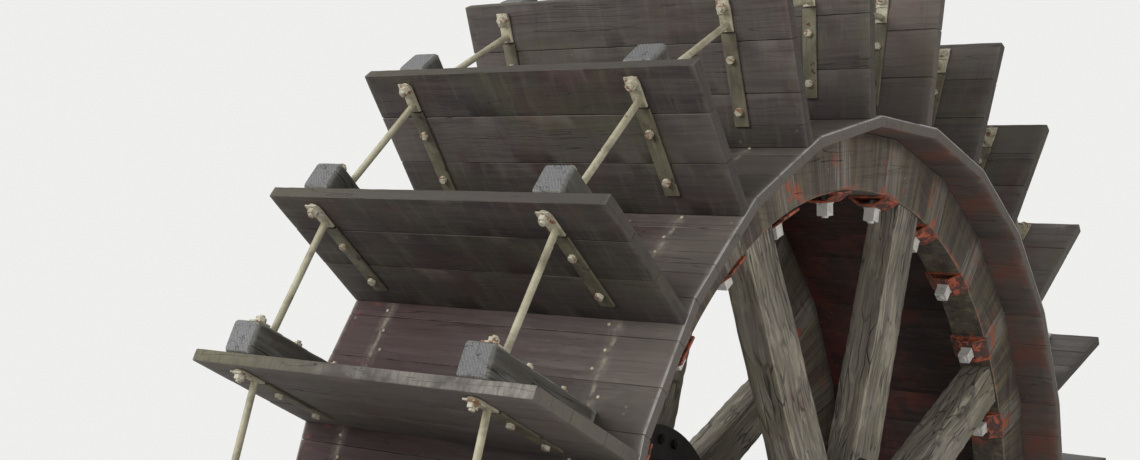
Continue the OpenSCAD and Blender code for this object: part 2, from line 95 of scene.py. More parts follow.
@dataclass(frozen=True)
class WheelPlan:
    """The wheel's main sizes in metres and degrees, as the frame has them."""

    tip_radius: float = 2.743
    sole_radius: float = 2.109
    width: float = 1.615
    floats: int = 24
    floats_per_arm: int = 3
    rest_turn: float = 17.2
    float_t: float = 0.050
    start_w: float = 0.130
    sole_t: float = 0.050
    felloe_depth: float = 0.260
    felloe_t: float = 0.180
    arm_head_w: float = 0.215
    arm_root_w: float = 0.250
    arm_t: float = 0.150
    boss_margin: float = 0.068
    right_inset: float = 0.217
    left_inset: float = 0.147
    axle_z: float = 2.900

    @property
    def pitch(self) -> float:
        """Angle from one float to the next, in degrees."""
        return 360 / self.floats

    @property
    def arm_pitch(self) -> float:
        """Angle from one arm to the next, in degrees."""
        return self.pitch * self.floats_per_arm

    @property
    def slope(self) -> float:
        """How much a seat on the sole's corner falls for each metre to its side."""
        return math.tan(math.radians(self.pitch / 2))

    @property
    def sole_flat(self) -> float:
        """Distance from the axle to the middle of a flat of the sole."""
        return self.sole_radius * math.cos(math.radians(self.pitch / 2))

    @property
    def rim_flat(self) -> float:
        """Distance from the axle to the middle of a flat of the felloes' outer face."""
        return self.sole_flat - self.sole_t

    @property
    def felloe_r(self) -> float:
        """Radius of the felloes' round inner face."""
        return self.rim_flat - self.felloe_depth

    @property
    def boss_r(self) -> float:
        """Radius of the hub's boss, where the arms' roots stop."""
        return self.arm_root_w / 2 / math.tan(math.radians(self.arm_pitch / 2)) + self.boss_margin

    def ring_x(self, side: Side) -> float:
        """Place of a ring's middle along the axle."""
        x = self.width / 2 - side.pick(self.right_inset, self.left_inset) - self.start_w / 2
        return side.pick(x, -x)

    def start_angles(self) -> list[float]:
        """Angles of the starts' centre lines, in degrees from upright."""
        return [self.rest_turn + i * self.pitch for i in range(self.floats)]

    def arm_angles(self) -> list[float]:
        """Angles of the arms' centre lines, which are midway between two starts."""
        first, arms = self.rest_turn + self.pitch / 2, self.floats // self.floats_per_arm
        return [first + j * self.arm_pitch for j in range(arms)]

    def turn(self, points: np.ndarray, angle: float) -> np.ndarray:
        """Turn points drawn upright above the axle to an angle round the wheel.

        Args:
            points: Rows of x, y and z, with z the distance from the axle.
            angle: Angle from upright in degrees, towards the front.

        Returns:
            The points in the frame's own coordinates.
        """
        c, s = math.cos(math.radians(angle)), math.sin(math.radians(angle))
        x, y, z = points.T
        return np.stack([x, y * c - z * s, y * s + z * c + self.axle_z], axis=1)


PLAN = WheelPlan()
END_WEAR = 0.8


# ---------------------------------------------------------------- mesh making


class Ripple:
    """A smooth, repeatable unevenness over space, for worn and sawn faces."""

    def __init__(self, seed: int, waves: int = 10) -> None:
        """Draw the waves from a seed."""
        rng = random.Random(seed)
        self.directions = np.array([[rng.gauss(0, 1) for _ in range(3)] for _ in range(waves)])
        self.phases = np.array([rng.uniform(0, 2 * math.pi) for _ in range(waves)])
        self.scales = np.array([rng.uniform(0.5, 2.2) for _ in range(waves)])

    def at(self, points: np.ndarray, per_metre: float) -> np.ndarray:
        """Height of the unevenness at some points.

        Args:
            points: Rows of x, y and z in metres.
            per_metre: How many waves there are to a metre.

        Returns:
            One value a point, from about 0 to 1.
        """
        arms = points @ self.directions.T * (2 * math.pi * per_metre) * self.scales
        return np.clip(0.5 + np.sin(arms + self.phases).sum(axis=1) / (2.4 * math.sqrt(len(self.phases))), 0, 1)


@dataclass
class MeshDraft:
    """Vertices, faces and the values that the finishes read from them."""

    vertices: list[np.ndarray] = field(default_factory=list)
    faces: Faces = field(default_factory=list)
    values: dict[str, list[np.ndarray]] = field(default_factory=dict)
    end: list[bool] = field(default_factory=list)
    count: int = 0

    def add(self, vertices: np.ndarray, faces: Iterable[tuple[int, ...]], grain: np.ndarray, place: np.ndarray,
            wear: np.ndarray, piece: float, ends: int = 0, dryness_and_light: float = 0.5) -> None:
        """Add one solid.

        Args:
            vertices: Its points, in metres in the frame's coordinates.
            faces: Its faces, as numbers of its own points.
            grain: The points along, across and through the timber's grain.
            place: The points along the axle, along the rim and out from the axle.
            wear: How much each point lies on an arris, from 0 to 1.
            piece: A number of its own from 0 to 1, which sets its tint.
            ends: How many faces, counted from the last, are end grain.
            dryness_and_light: Its dryness, from 0 for soaked and dark to 1 for pale; on the lit floats a high value
                also stands for painted light.
        """
        total = len(vertices)
        listed = [tuple(i + self.count for i in f) for f in faces]
        self.faces += listed
        self.end += [False] * (len(listed) - ends) + [True] * ends
        self.vertices.append(vertices)
        for key, rows in (("grain", grain), ("place", place), ("wear", wear), ("piece", np.full(total, piece)),
                          ("dryness_and_light", np.full(total, dryness_and_light))):
            self.values.setdefault(key, []).append(rows)
        self.count += total

    def build(self, name: str, body: str, slot: str, material: bpy.types.Material,
              sharp: float = 38.0) -> bpy.types.Object:
        """Make the object and let it ride on its body.

        Args:
            name: The object's name.
            body: The body that it moves with.
            slot: A material slot's name; not used.
            material: Its finish.
            sharp: Angle between faces in degrees, above which an edge stays sharp.

        Returns:
            The new object.
        """
        mesh = bpy.data.meshes.new(name)
        mesh.from_pydata(np.concatenate(self.vertices).tolist(), [], self.faces)
        mesh.polygons.foreach_set("use_smooth", [True] * len(mesh.polygons))
        mesh.set_sharp_from_angle(angle=math.radians(sharp))
        for key, parts in self.values.items():
            rows = np.concatenate(parts).astype(np.float32)
            kind, field_name = ("FLOAT", "value") if rows.ndim == 1 else ("FLOAT_VECTOR", "vector")
            mesh.attributes.new(key, kind, "POINT").data.foreach_set(field_name, rows.ravel())
        mesh.attributes.new("end", "FLOAT", "FACE").data.foreach_set("value", np.array(self.end, np.float32))
        mesh.materials.append(material)
        mesh.update()
        obj = bpy.data.objects.new(name, mesh)
        bpy.context.scene.collection.objects.link(obj)
        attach(obj, body)
        log.info("%s: %d faces on %s", name, len(mesh.polygons), body)
        return obj


def rounded_section(corners: Sequence[tuple[float, float]], radius: float,
                    between: int = 2) -> tuple[np.ndarray, np.ndarray]:
    """Draw the outline of a timber with worn corners.

    Args:
        corners: The corners in turn, as pairs of across and through.
        radius: How far the wear takes each corner back.
        between: How many points stand on each side between the corners.

    Returns:
        The outline's points, and how much each of them lies on an arris.
    """
    points, wear = [], []
    for i, corner in enumerate(corners):
        here = np.array(corner)
        before, after = np.array(corners[i - 1]) - here, np.array(corners[(i + 1) % len(corners)]) - here
        before_dir, after_dir = before / np.linalg.norm(before), after / np.linalg.norm(after)
        for b, a, w in ((1.0, 0.0, 0.35), (0.29, 0.29, 1.0), (0.0, 1.0, 0.35)):
            points.append(here + radius * (b * before_dir + a * after_dir))
            wear.append(w)
        for k in range(between):
            share = (k + 1) / (between + 1)
            points.append(here + after_dir * radius + share * (after - 2 * radius * after_dir))
            wear.append(0.0)
    return np.array(points), np.array(wear)


def skin(rings: int, around: int, reverse: bool = False) -> Faces:
    """Join rings of points into a closed skin.

    Args:
        rings: How many rings there are.
        around: How many points each of them has.
        reverse: Whether the points run the other way round.

    Returns:
        The faces of the sides, then those that close the first and the last ring.
    """
    faces: Faces = []
    for n in range(rings - 1):
        for i in range(around):
            a, b = n * around + i, n * around + (i + 1) % around
            faces.append((a, a + around, b + around, b) if reverse else (a, b, b + around, a + around))
    first = tuple(range(around))
    last = tuple((rings - 1) * around + i for i in first)
    return faces + ([first, last[::-1]] if reverse else [first[::-1], last])


@dataclass(frozen=True)
class Timber:
    """A straight timber: an outline carried along its length, with rubbed arrises and uneven faces."""

    corners: Callable[[float], Sequence[tuple[float, float]]]
    length: float
    steps: int
    radius: float = 0.006
    rough: float = 0.0015
    between: int = 2

    def mesh(self, seed: int) -> tuple[np.ndarray, Faces, np.ndarray]:
        """Make the timber's skin.

        Args:
            seed: The seed of its unevenness.

        Returns:
            Points as along, across and through; faces with the two ends last; wear a point.
        """
        ripple, inner = Ripple(seed), self.length - 2 * self.radius
        stations = [0.0, self.radius] + [self.radius + inner * k / self.steps for k in range(1, self.steps)]
        stations += [self.length - self.radius, self.length]
        rings, wears = [], []
        for n, s in enumerate(stations):
            from_end = min(n, len(stations) - 1 - n)
            outline, wear = rounded_section(self.corners(s), self.radius, self.between)
            ring = np.hstack([np.full((len(outline), 1), s), outline])
            back = self.rough * (0.25 + 0.75 * ripple.at(ring, 3.1))
            back = back * (0.4 + 1.6 * wear * ripple.at(ring[:, ::-1], 5.3))
            back = back + (0.72 * self.radius if from_end == 0 else 0.0)
            spread = outline - outline.mean(axis=0)
            ring[:, 1:] = outline - np.clip(spread / np.abs(spread).max(axis=0), -1, 1) * back[:, None]
            rings.append(ring)
            wears.append(np.maximum(wear, END_WEAR if from_end < 2 else 0.0))
        return np.concatenate(rings), skin(len(rings), len(rings[0])), np.concatenate(wears)


# ---------------------------------------------------------------- node groups and finishes


@dataclass(frozen=True)
class Wire:
    """What a node puts out, which plain sums can be written with."""

    sketch: "NodeSketch"
    socket: bpy.types.NodeSocket

    def __add__(self, other: object) -> "Wire":
        """Add a value."""
        return self.sketch.maths("ADD", self, other)

    def __sub__(self, other: object) -> "Wire":
        """Take a value away."""
        return self.sketch.maths("SUBTRACT", self, other)

    def __rsub__(self, other: object) -> "Wire":
        """Take this away from a value."""
        return self.sketch.maths("SUBTRACT", other, self)

    def __mul__(self, other: object) -> "Wire":
        """Multiply by a value."""
        return self.sketch.maths("MULTIPLY", self, other)

    def __abs__(self) -> "Wire":
        """Drop the sign."""
        return self.sketch.maths("ABSOLUTE", self)

    def moved(self, by: object) -> "Wire":
        """Add a vector."""
        return self.sketch.vector("ADD", self, by)

    def stretched(self, by: object) -> "Wire":
        """Multiply by a vector, part by part."""
        return self.sketch.vector("MULTIPLY", self, by)

    def ramp(self, low: object, high: object, to_low: object = 0.0, to_high: object = 1.0) -> "Wire":
        """Turn what lies between two limits smoothly into what lies between two others."""
        return self.sketch.put("ShaderNodeMapRange", {"interpolation_type": "SMOOTHSTEP"}, "Result", Value=self,
                               From_Min=low, From_Max=high, To_Min=to_low, To_Max=to_high)

    def parts(self) -> tuple["Wire", ...]:
        """Take a vector or colour apart into its three numbers."""
        node = self.sketch.add("ShaderNodeSeparateXYZ", {}, self)
        return tuple(Wire(self.sketch, socket) for socket in node.outputs)


class NodeSketch:
    """A short way to place and join the nodes of one tree."""

    def __init__(self, tree: bpy.types.NodeTree) -> None:
        """Hold the tree that the nodes go into."""
        self.tree = tree
        self.column = 0

    def feed(self, socket: bpy.types.NodeSocket, value: object) -> None:
        """Give a socket a link or a plain value, or leave it as it is for None."""
        if isinstance(value, Wire):
            self.tree.links.new(value.socket, socket)
        elif value is not None:
            socket.default_value = value

    def add(self, kind: str, settings: dict[str, object], *values: object, **named: object) -> bpy.types.Node:
        """Place a node.

        Args:
            kind: Its type.
            settings: Its own settings by name.
            values: Its inputs in turn.
            named: Its inputs by name, with spaces written as underscores.

        Returns:
            The node.
        """
        node = self.tree.nodes.new(kind)
        node.location = (self.column * 180 - 1400, -(self.column % 5) * 160)
        self.column += 1
        for key, value in settings.items():
            setattr(node, key, value)
        for socket, value in zip(node.inputs, values):
            self.feed(socket, value)
        for key, value in named.items():
            self.feed(node.inputs[key.replace("_", " ")], value)
        return node

    def put(self, kind: str, settings: dict[str, object], output: str | int, *values: object,
            **named: object) -> Wire:
        """Place a node and return one of its outputs."""
        return Wire(self, self.add(kind, settings, *values, **named).outputs[output])

    def maths(self, operation: str, *values: object) -> Wire:
        """Place a Math node."""
        return self.put("ShaderNodeMath", {"operation": operation}, 0, *values)

    def vector(self, operation: str, *values: object, output: str = "Vector") -> Wire:
        """Place a Vector Math node."""
        return self.put("ShaderNodeVectorMath", {"operation": operation}, output, *values)

    def combine(self, x: object, y: object, z: object) -> Wire:
        """Join three numbers into a vector."""
        return self.put("ShaderNodeCombineXYZ", {}, 0, x, y, z)

    def noise(self, where: Wire, scale: object, detail: float = 4.0, rough: float = 0.55, twist: float = 0.0,
              output: str = "Fac") -> Wire:
        """Place a noise, which puts out values from 0 to 1."""
        return self.put("ShaderNodeTexNoise", {}, output, Vector=where, Scale=scale, Detail=detail, Roughness=rough,
                        Distortion=twist)

    def mix(self, share: object, a: object, b: object) -> Wire:
        """Mix two colours, which are the seventh and eighth inputs of a Mix node."""
        return self.put("ShaderNodeMix", {"data_type": "RGBA"}, 2, share, *[None] * 5, a, b)

    def read(self, name: str, output: str = "Fac") -> Wire:
        """Read one of the values that the mesh carries."""
        return self.put("ShaderNodeAttribute", {"attribute_name": name}, output)

    def where(self) -> Wire:
        """Read the place on the object, in metres."""
        return self.put("ShaderNodeTexCoord", {}, "Object")


class Effect:
    """A shader effect kept as one node group, which many finishes place with their own values."""

    name = "effect"
    inputs: dict[str, float | None] = {}
    """The inputs with their usual numbers, or None for a vector."""
    outputs: tuple[str, ...] = ("Mask",)

    def group(self) -> bpy.types.NodeTree:
        """Return the group, and build it the first time."""
        found = bpy.data.node_groups.get(self.name)
        if found:
            return found
        tree = bpy.data.node_groups.new(self.name, "ShaderNodeTree")
        for name, value in self.inputs.items():
            kind = "NodeSocketVector" if value is None else "NodeSocketFloat"
            made = tree.interface.new_socket(name, in_out="INPUT", socket_type=kind)
            if value is not None:
                made.default_value = value
        for name in self.outputs:
            tree.interface.new_socket(name, in_out="OUTPUT", socket_type="NodeSocketFloat")
        sketch = NodeSketch(tree)
        given = sketch.add("NodeGroupInput", {}).outputs
        drawn = self.draw(sketch, {name: Wire(sketch, given[name]) for name in self.inputs})
        sketch.add("NodeGroupOutput", {}, **drawn)
        return tree

    def draw(self, sketch: NodeSketch, given: dict[str, Wire]) -> dict[str, Wire]:
        """Draw the group's inside.

        Args:
            sketch: The group's tree.
            given: What goes into the group, by name.

        Returns:
            What comes out of it, by name.
        """
        raise NotImplementedError

    def place(self, sketch: NodeSketch, **values: object) -> dict[str, Wire]:
        """Place the group in a material.

        Args:
            sketch: The material's tree.
            values: Inputs by name, with spaces written as underscores.

        Returns:
            What the group puts out, by name.
        """
        node = sketch.add("ShaderNodeGroup", {"node_tree": self.group()}, **values)
        return {name: Wire(sketch, node.outputs[name]) for name in self.outputs}

    def mask(self, sketch: NodeSketch, **values: object) -> Wire:
        """Place the group and return its mask."""
        return self.place(sketch, **values)["Mask"]


class WoodFibre(Effect):
    """Long fibres, drying cracks and pale streaks of old timber, along its own grain."""

    name = "wood_fibre"
    inputs = {"Grain": None, "Piece": 0.5, "End": 0.0, "Fibre": 60.0, "Cracks": 0.5, "Checks": 0.3, "Waviness": 1.0}
    outputs = ("Light", "Streak", "Crack", "Height")

    def draw(self, sketch: NodeSketch, given: dict[str, Wire]) -> dict[str, Wire]:
        """Draw stretched noises for fibres and streaks, thin lines for cracks and rings for end grain.

        Args:
            sketch: The group's tree.
            given: What goes into the group, by name.

        Returns:
            What comes out of it, by name.
        """
        piece, end, fibre, cracks = (given[name] for name in ("Piece", "End", "Fibre", "Cracks"))
        where = given["Grain"].moved(sketch.combine(piece * 7.1, piece * 3.7, piece * 5.3))
        sway = sketch.noise(where, 2.6, 2.0, 0.5, output="Color").stretched((0.02, 0.035, 0.035))
        bent = where.moved(sway.stretched(given["Waviness"]))

        def along(squeeze: float, scale: object, detail: float, rough: float) -> Wire:
            """Place a noise drawn out along the grain."""
            return sketch.noise(bent.stretched((squeeze, 1.0, 1.0)), scale, detail, rough)

        side = along(0.035, fibre, 4.0, 0.62) * 0.62 + along(0.06, fibre * 0.22, 2.0, 0.5) * 0.38
        rings = sketch.put("ShaderNodeTexWave", {"wave_type": "RINGS", "rings_direction": "X"}, "Fac",
                           Vector=bent.stretched((0.05, 1.0, 1.0)), Scale=28.0, Distortion=3.0, Detail=2.0)
        cut_end = rings * 0.16 + sketch.noise(where, 120.0, 2.0, 0.7) * 0.7
        light = side + (cut_end - side) * end
        line = abs(along(0.028, 13.0, 3.0, 0.5) - 0.5).ramp(0.0, cracks * 0.02 + 0.0005, 1.0, 0.0)
        crack = line * sketch.noise(where, 1.9, 2.0).ramp(0.43, 0.56) * cracks.ramp(0.0, 0.15)
        cells = sketch.put("ShaderNodeTexVoronoi", {"feature": "DISTANCE_TO_EDGE"}, "Distance",
                           Vector=bent.stretched((0.13, 1.0, 1.0)), Scale=25.0)
        check = cells.ramp(0.0, 0.075, 1.0, 0.0) * sketch.noise(where, 4.3, 3.0, 0.65).ramp(0.42, 0.62)
        crack = sketch.maths("MAXIMUM", crack, check * given["Checks"] * end.ramp(0.0, 1.0, 1.0, 0.3))
        streak = along(0.12, 22.0, 5.0, 0.7).ramp(0.50, 0.60) * sketch.noise(where, 3.1, 3.0, 0.6).ramp(0.34, 0.56)
        return {"Light": light, "Streak": streak, "Crack": crack, "Height": light * 0.5 - crack}


class Blotches(Effect):
    """Patches of stain, algae or chipping, with broken edges."""

    name = "blotches"
    inputs = {"Where": None, "Size": 4.0, "Cover": 0.3, "Edge": 0.06}

    def draw(self, sketch: NodeSketch, given: dict[str, Wire]) -> dict[str, Wire]:
        """Draw a coarse noise cut at the cover, with a finer noise breaking its edge.

        Args:
            sketch: The group's tree.
            given: What goes into the group, by name.

        Returns:
            What comes out of it, by name.
        """
        where, size, edge = given["Where"], given["Size"], given["Edge"]
        level = sketch.noise(where, size, 4.0, 0.6) + (sketch.noise(where, size * 9.0, 3.0, 0.6) - 0.5) * 0.22
        cut = given["Cover"].ramp(0.0, 1.0, 0.78, 0.26)
        return {"Mask": level.ramp(cut - edge, cut + edge)}


class Specks(Effect):
    """Small pale or dark spots of lime, paint or pitting."""

    name = "specks"
    inputs = {"Where": None, "Per Metre": 30.0, "Size": 0.12, "Share": 0.3}

    def draw(self, sketch: NodeSketch, given: dict[str, Wire]) -> dict[str, Wire]:
        """Draw a cell pattern's centres, and keep a share of the cells.

        Args:
            sketch: The group's tree.
            given: What goes into the group, by name.

        Returns:
            What comes out of it, by name.
        """
        cells = sketch.add("ShaderNodeTexVoronoi", {}, Vector=given["Where"], Scale=given["Per Metre"]).outputs
        chance, growth, _ = Wire(sketch, cells["Color"]).parts()
        size = given["Size"] * (growth + 0.4)
        spot = Wire(sketch, cells["Distance"]).ramp(size * 0.6, size, 1.0, 0.0)
        return {"Mask": spot * sketch.maths("LESS_THAN", chance, given["Share"])}


class Edges(Effect):
    """The outer edges of a piece, found where a rounded normal leaves the true one."""

    name = "edges"
    inputs = {"Reach": 0.006}

    def draw(self, sketch: NodeSketch, given: dict[str, Wire]) -> dict[str, Wire]:
        """Compare a Bevel node's normal with the face's own."""
        soft = sketch.put("ShaderNodeBevel", {"samples": 6}, "Normal", Radius=given["Reach"])
        true = sketch.put("ShaderNodeNewGeometry", {}, "Normal")
        return {"Mask": sketch.vector("DOT_PRODUCT", soft, true, output="Value").ramp(0.8, 0.995, 1.0, 0.0)}


FIBRE, BLOTCH, SPECK, EDGE = WoodFibre(), Blotches(), Specks(), Edges()


class Finish:
    """What every finish shares: a material with one Principled shader and a bump."""

    name: str

    def material(self) -> bpy.types.Material:
        """Return the finish's material, and build it the first time."""
        title = self.name + "_finish"
        found = bpy.data.materials.get(title)
        if found:
            return found
        material = bpy.data.materials.new(title)
        material.use_nodes = True
        self.paint(NodeSketch(material.node_tree), material.node_tree.nodes["Principled BSDF"])
        return material

    def paint(self, sketch: NodeSketch, shader: bpy.types.Node) -> None:
        """Join the finish's effects to the shader."""
        raise NotImplementedError

    def coat(self, sketch: NodeSketch, shader: bpy.types.Node, colour: Wire, roughness: object, height: Wire,
             depth: float) -> None:
        """Feed the shader its colour, roughness and bump.

        Args:
            sketch: The material's tree.
            shader: Its shader.
            colour: The base colour.
            roughness: A plain number or a wire.
            height: The height of the surface, from 0 to about 1.
            depth: The depth in metres that a height of 1 stands for.
        """
        raised = sketch.put("ShaderNodeBump", {}, "Normal", Distance=depth, Strength=1.0, Height=height)
        for name, value in (("Base Color", colour), ("Roughness", roughness), ("Normal", raised)):
            sketch.feed(shader.inputs[name], value)


@dataclass(frozen=True)
class WornTimber(Finish):
    """Old outdoor timber: fibres, cracks, rubbed pale arrises, stains and algae."""

    name: str
    dark: Colour
    light: Colour
    arris: Colour
    stain: Colour
    algae: Colour
    end_grain: Colour
    deep: Colour = srgb("16120f")
    fibre: float = 60.0
    cracks: float = 0.4
    crack_share: float = 0.85
    arris_share: float = 0.8
    stain_cover: float = 0.25
    stain_share: float = 0.62
    algae_cover: float = 0.25
    algae_share: float = 0.55
    speck_share: float = 0.04
    speck_tint: float = 0.6
    tint_spread: float = 0.34
    streaks: float = 0.25
    checks: float = 0.0
    waviness: float = 1.0
    roughness: float = 0.78
    relief: float = 0.004

    def paint(self, sketch: NodeSketch, shader: bpy.types.Node) -> None:
        """Lay the fibres first, then stain, algae, what belongs to the place, rub, specks and cracks.

        Args:
            sketch: The material's tree.
            shader: Its shader.
        """
        piece, wear, end = (sketch.read(name) for name in ("piece", "wear", "end"))
        where = sketch.where()
        fibre = FIBRE.place(sketch, Grain=sketch.read("grain", "Vector"), Piece=piece, End=end, Fibre=self.fibre,
                            Cracks=self.cracks, Checks=self.checks, Waviness=self.waviness)
        level = (fibre["Light"] + piece * self.tint_spread - self.tint_spread / 2).ramp(0.22, 0.74)
        cut = sketch.mix(level * 0.45 + 0.55, self.dark, self.end_grain)
        colour = sketch.mix(end, sketch.mix(level, self.dark, self.light), cut)
        colour = sketch.mix(fibre["Streak"] * (1.0 - end) * self.streaks, colour, self.arris)
        stain = BLOTCH.mask(sketch, Where=where, Size=2.6, Cover=self.stain_cover, Edge=0.09)
        colour = sketch.mix(stain * self.stain_share, colour, self.stain)
        algae = BLOTCH.mask(sketch, Where=where.moved((3.0, 1.0, 7.0)), Size=3.4, Cover=self.algae_cover, Edge=0.12)
        colour = sketch.mix(algae * self.algae_share, colour, self.algae)
        colour = self.local(sketch, colour, sketch.read("place", "Vector"))
        rub = (wear + sketch.noise(where, 16.0, 3.0, 0.6) * 0.7).ramp(0.85, 1.35)
        colour = sketch.mix(rub * self.arris_share * (1.0 - end), colour, self.arris)
        speck = SPECK.mask(sketch, Where=where, Per_Metre=26.0, Size=0.16, Share=self.speck_share)
        colour = sketch.mix(speck * self.speck_tint, colour, self.arris)
        colour = sketch.mix(fibre["Crack"] * self.crack_share, colour, self.deep)
        roughness = fibre["Light"].ramp(0.0, 1.0, self.roughness + 0.1, self.roughness - 0.12)
        self.coat(sketch, shader, colour, roughness, fibre["Height"], self.relief)

    def local(self, sketch: NodeSketch, colour: Wire, place: Wire) -> Wire:
        """Add what belongs to one place on this piece; plain timber adds nothing."""
        return colour


@dataclass(frozen=True)
class FloatTimber(WornTimber):
    """Float boards: pale outer edges and lighter faces on the lit floats, which are painted light, and soaked, dark
    roots.
    """

    edge_dark: Colour = srgb("3c3732")
    lit_edge: Colour = srgb("928d83")
    edge_moss: Colour = srgb("6f6b51")
    root: Colour = srgb("2b2322")
    silt: Colour = srgb("625e4c")
    painted_light_tint: Colour = srgb("80766f")

    def local(self, sketch: NodeSketch, colour: Wire, place: Wire) -> Wire:
        """Darken the root and the soaked boards, lighten the lit floats' faces with painted light, draw what the
        water left, and paint the outer edge, pale with painted light on the lit floats.

        Args:
            sketch: The material's tree.
            colour: The colour so far.
            place: Along the axle, along the rim and out from the axle.

        Returns:
            The new colour.
        """
        x, _, z = place.parts()
        dryness_and_light, rough = sketch.read("dryness_and_light"), sketch.noise(place, 9.0, 4.0, 0.6)
        colour = sketch.mix((z + (rough - 0.5) * 0.22).ramp(2.12, 2.34, 0.45, 0.0), colour, self.root)
        colour = sketch.mix(dryness_and_light.ramp(0.0, 0.6, 0.34, 0.0), colour, self.root)
        # Painted light: the faces of the lit floats are lightened.
        colour = sketch.mix(dryness_and_light.ramp(0.6, 1.0, 0.0, 0.3), colour, self.painted_light_tint)
        water = sketch.noise(place.stretched((1.0, 1.0, 0.16)), 17.0, 4.0, 0.7)
        colour = sketch.mix(water.ramp(0.5, 0.68, 0.0, 0.4), colour, self.silt)
        colour = sketch.mix(water.ramp(0.3, 0.45, 0.4, 0.0), colour, self.root)
        # Painted light: the outer edges of the lit floats are pale, more so towards the right end.
        bright = (rough * 0.9 + x * 0.30).ramp(0.34, 0.78)
        edge = sketch.mix(bright * dryness_and_light, self.edge_dark, self.lit_edge)
        mossy = x.ramp(-0.75, 0.1, 0.8, 0.0) * dryness_and_light.ramp(0.0, 1.0, 0.3, 1.0)
        edge = sketch.mix(mossy, edge, self.edge_moss)
        saw = sketch.noise(place.stretched((1.0, 0.25, 1.0)), 75.0, 4.0, 0.7)
        edge = sketch.mix(saw.ramp(0.3, 0.62, 0.65, 0.0), edge, self.edge_dark)
        tip = z.ramp(PLAN.tip_radius - 0.0035, PLAN.tip_radius - 0.0015)
        return sketch.mix(tip * 0.9, colour, edge)


@dataclass(frozen=True)
class SoleTimber(WornTimber):
    """Sole boards: red-brown and darker at the left end, which is painted shade, grey-brown and lighter at the right
    end, which is painted light, with pale runs below the bolts.
    """

    left: Colour = srgb("5f302e")
    left_end_shade: Colour = srgb("281f1f")
    ember: Colour = srgb("843f2e")
    run: Colour = srgb("a9a28f")
    rim_highlight: Colour = srgb("b3b0ac")

    def local(self, sketch: NodeSketch, colour: Wire, place: Wire) -> Wire:
        """Tint the ends, paint shade towards the left end and light towards the right, draw the pale runs over both
        rings, redden the inside and paint a highlight on the rim.

        Args:
            sketch: The material's tree.
            colour: The colour so far.
            place: Along the axle, along the rim and out from the axle.

        Returns:
            The new colour.
        """
        x, _, z = place.parts()
        wander = (sketch.noise(place, 3.0, 4.0) - 0.5) * 1.1
        colour = sketch.mix((x + wander).ramp(-0.8, 0.35, 0.8, 0.0) * 0.7, colour, self.left)
        # Painted shade: the boards darken towards the left end, and painted light lightens them towards the right end
        # below.
        damp = x + wander * 0.3
        colour = sketch.mix(damp.ramp(-0.8, 0.6, 0.68, 0.12), colour, self.left_end_shade)
        ember = BLOTCH.mask(sketch, Where=place.stretched((1.0, 2.0, 1.0)), Size=9.0, Cover=0.3, Edge=0.05)
        colour = sketch.mix(ember * x.ramp(-0.7, -0.4, 0.5, 0.0), colour, self.ember)
        # Painted light: the right end is lightened.
        colour = sketch.mix(damp.ramp(0.35, 0.8) * 0.38, colour, self.arris)
        sway = (sketch.noise(place, 7.0, 3.0) - 0.5) * 0.05
        broken = sketch.noise(place, 21.0, 5.0, 0.75).ramp(0.40, 0.66)
        patchy = sketch.noise(place, 9.0, 4.0, 0.7).ramp(0.4, 0.6)
        for side in Side:
            off = abs(x + sway - PLAN.ring_x(side))
            colour = sketch.mix(off.ramp(0.012, 0.045, 0.38, 0.0) * patchy, colour, self.arris)
            colour = sketch.mix(off.ramp(0.001, 0.017, 0.5, 0.0) * broken, colour, self.run)
        glow = BLOTCH.mask(sketch, Where=place, Size=3.2, Cover=0.42, Edge=0.14)
        inside = z.ramp(PLAN.rim_flat + 0.002, PLAN.rim_flat + 0.007, 0.6, 0.0)
        colour = sketch.mix(glow * inside, colour, self.ember)
        # Painted highlight along the outer top arris of the sole's ends.
        rim = abs(x).ramp(PLAN.width / 2 - 0.009, PLAN.width / 2 - 0.003)
        rim = rim * z.ramp(PLAN.sole_flat - 0.011, PLAN.sole_flat - 0.004)
        return sketch.mix(rim * sketch.noise(place, 6.0, 4.0).ramp(0.3, 0.55, 0.25, 0.95), colour, self.rim_highlight)


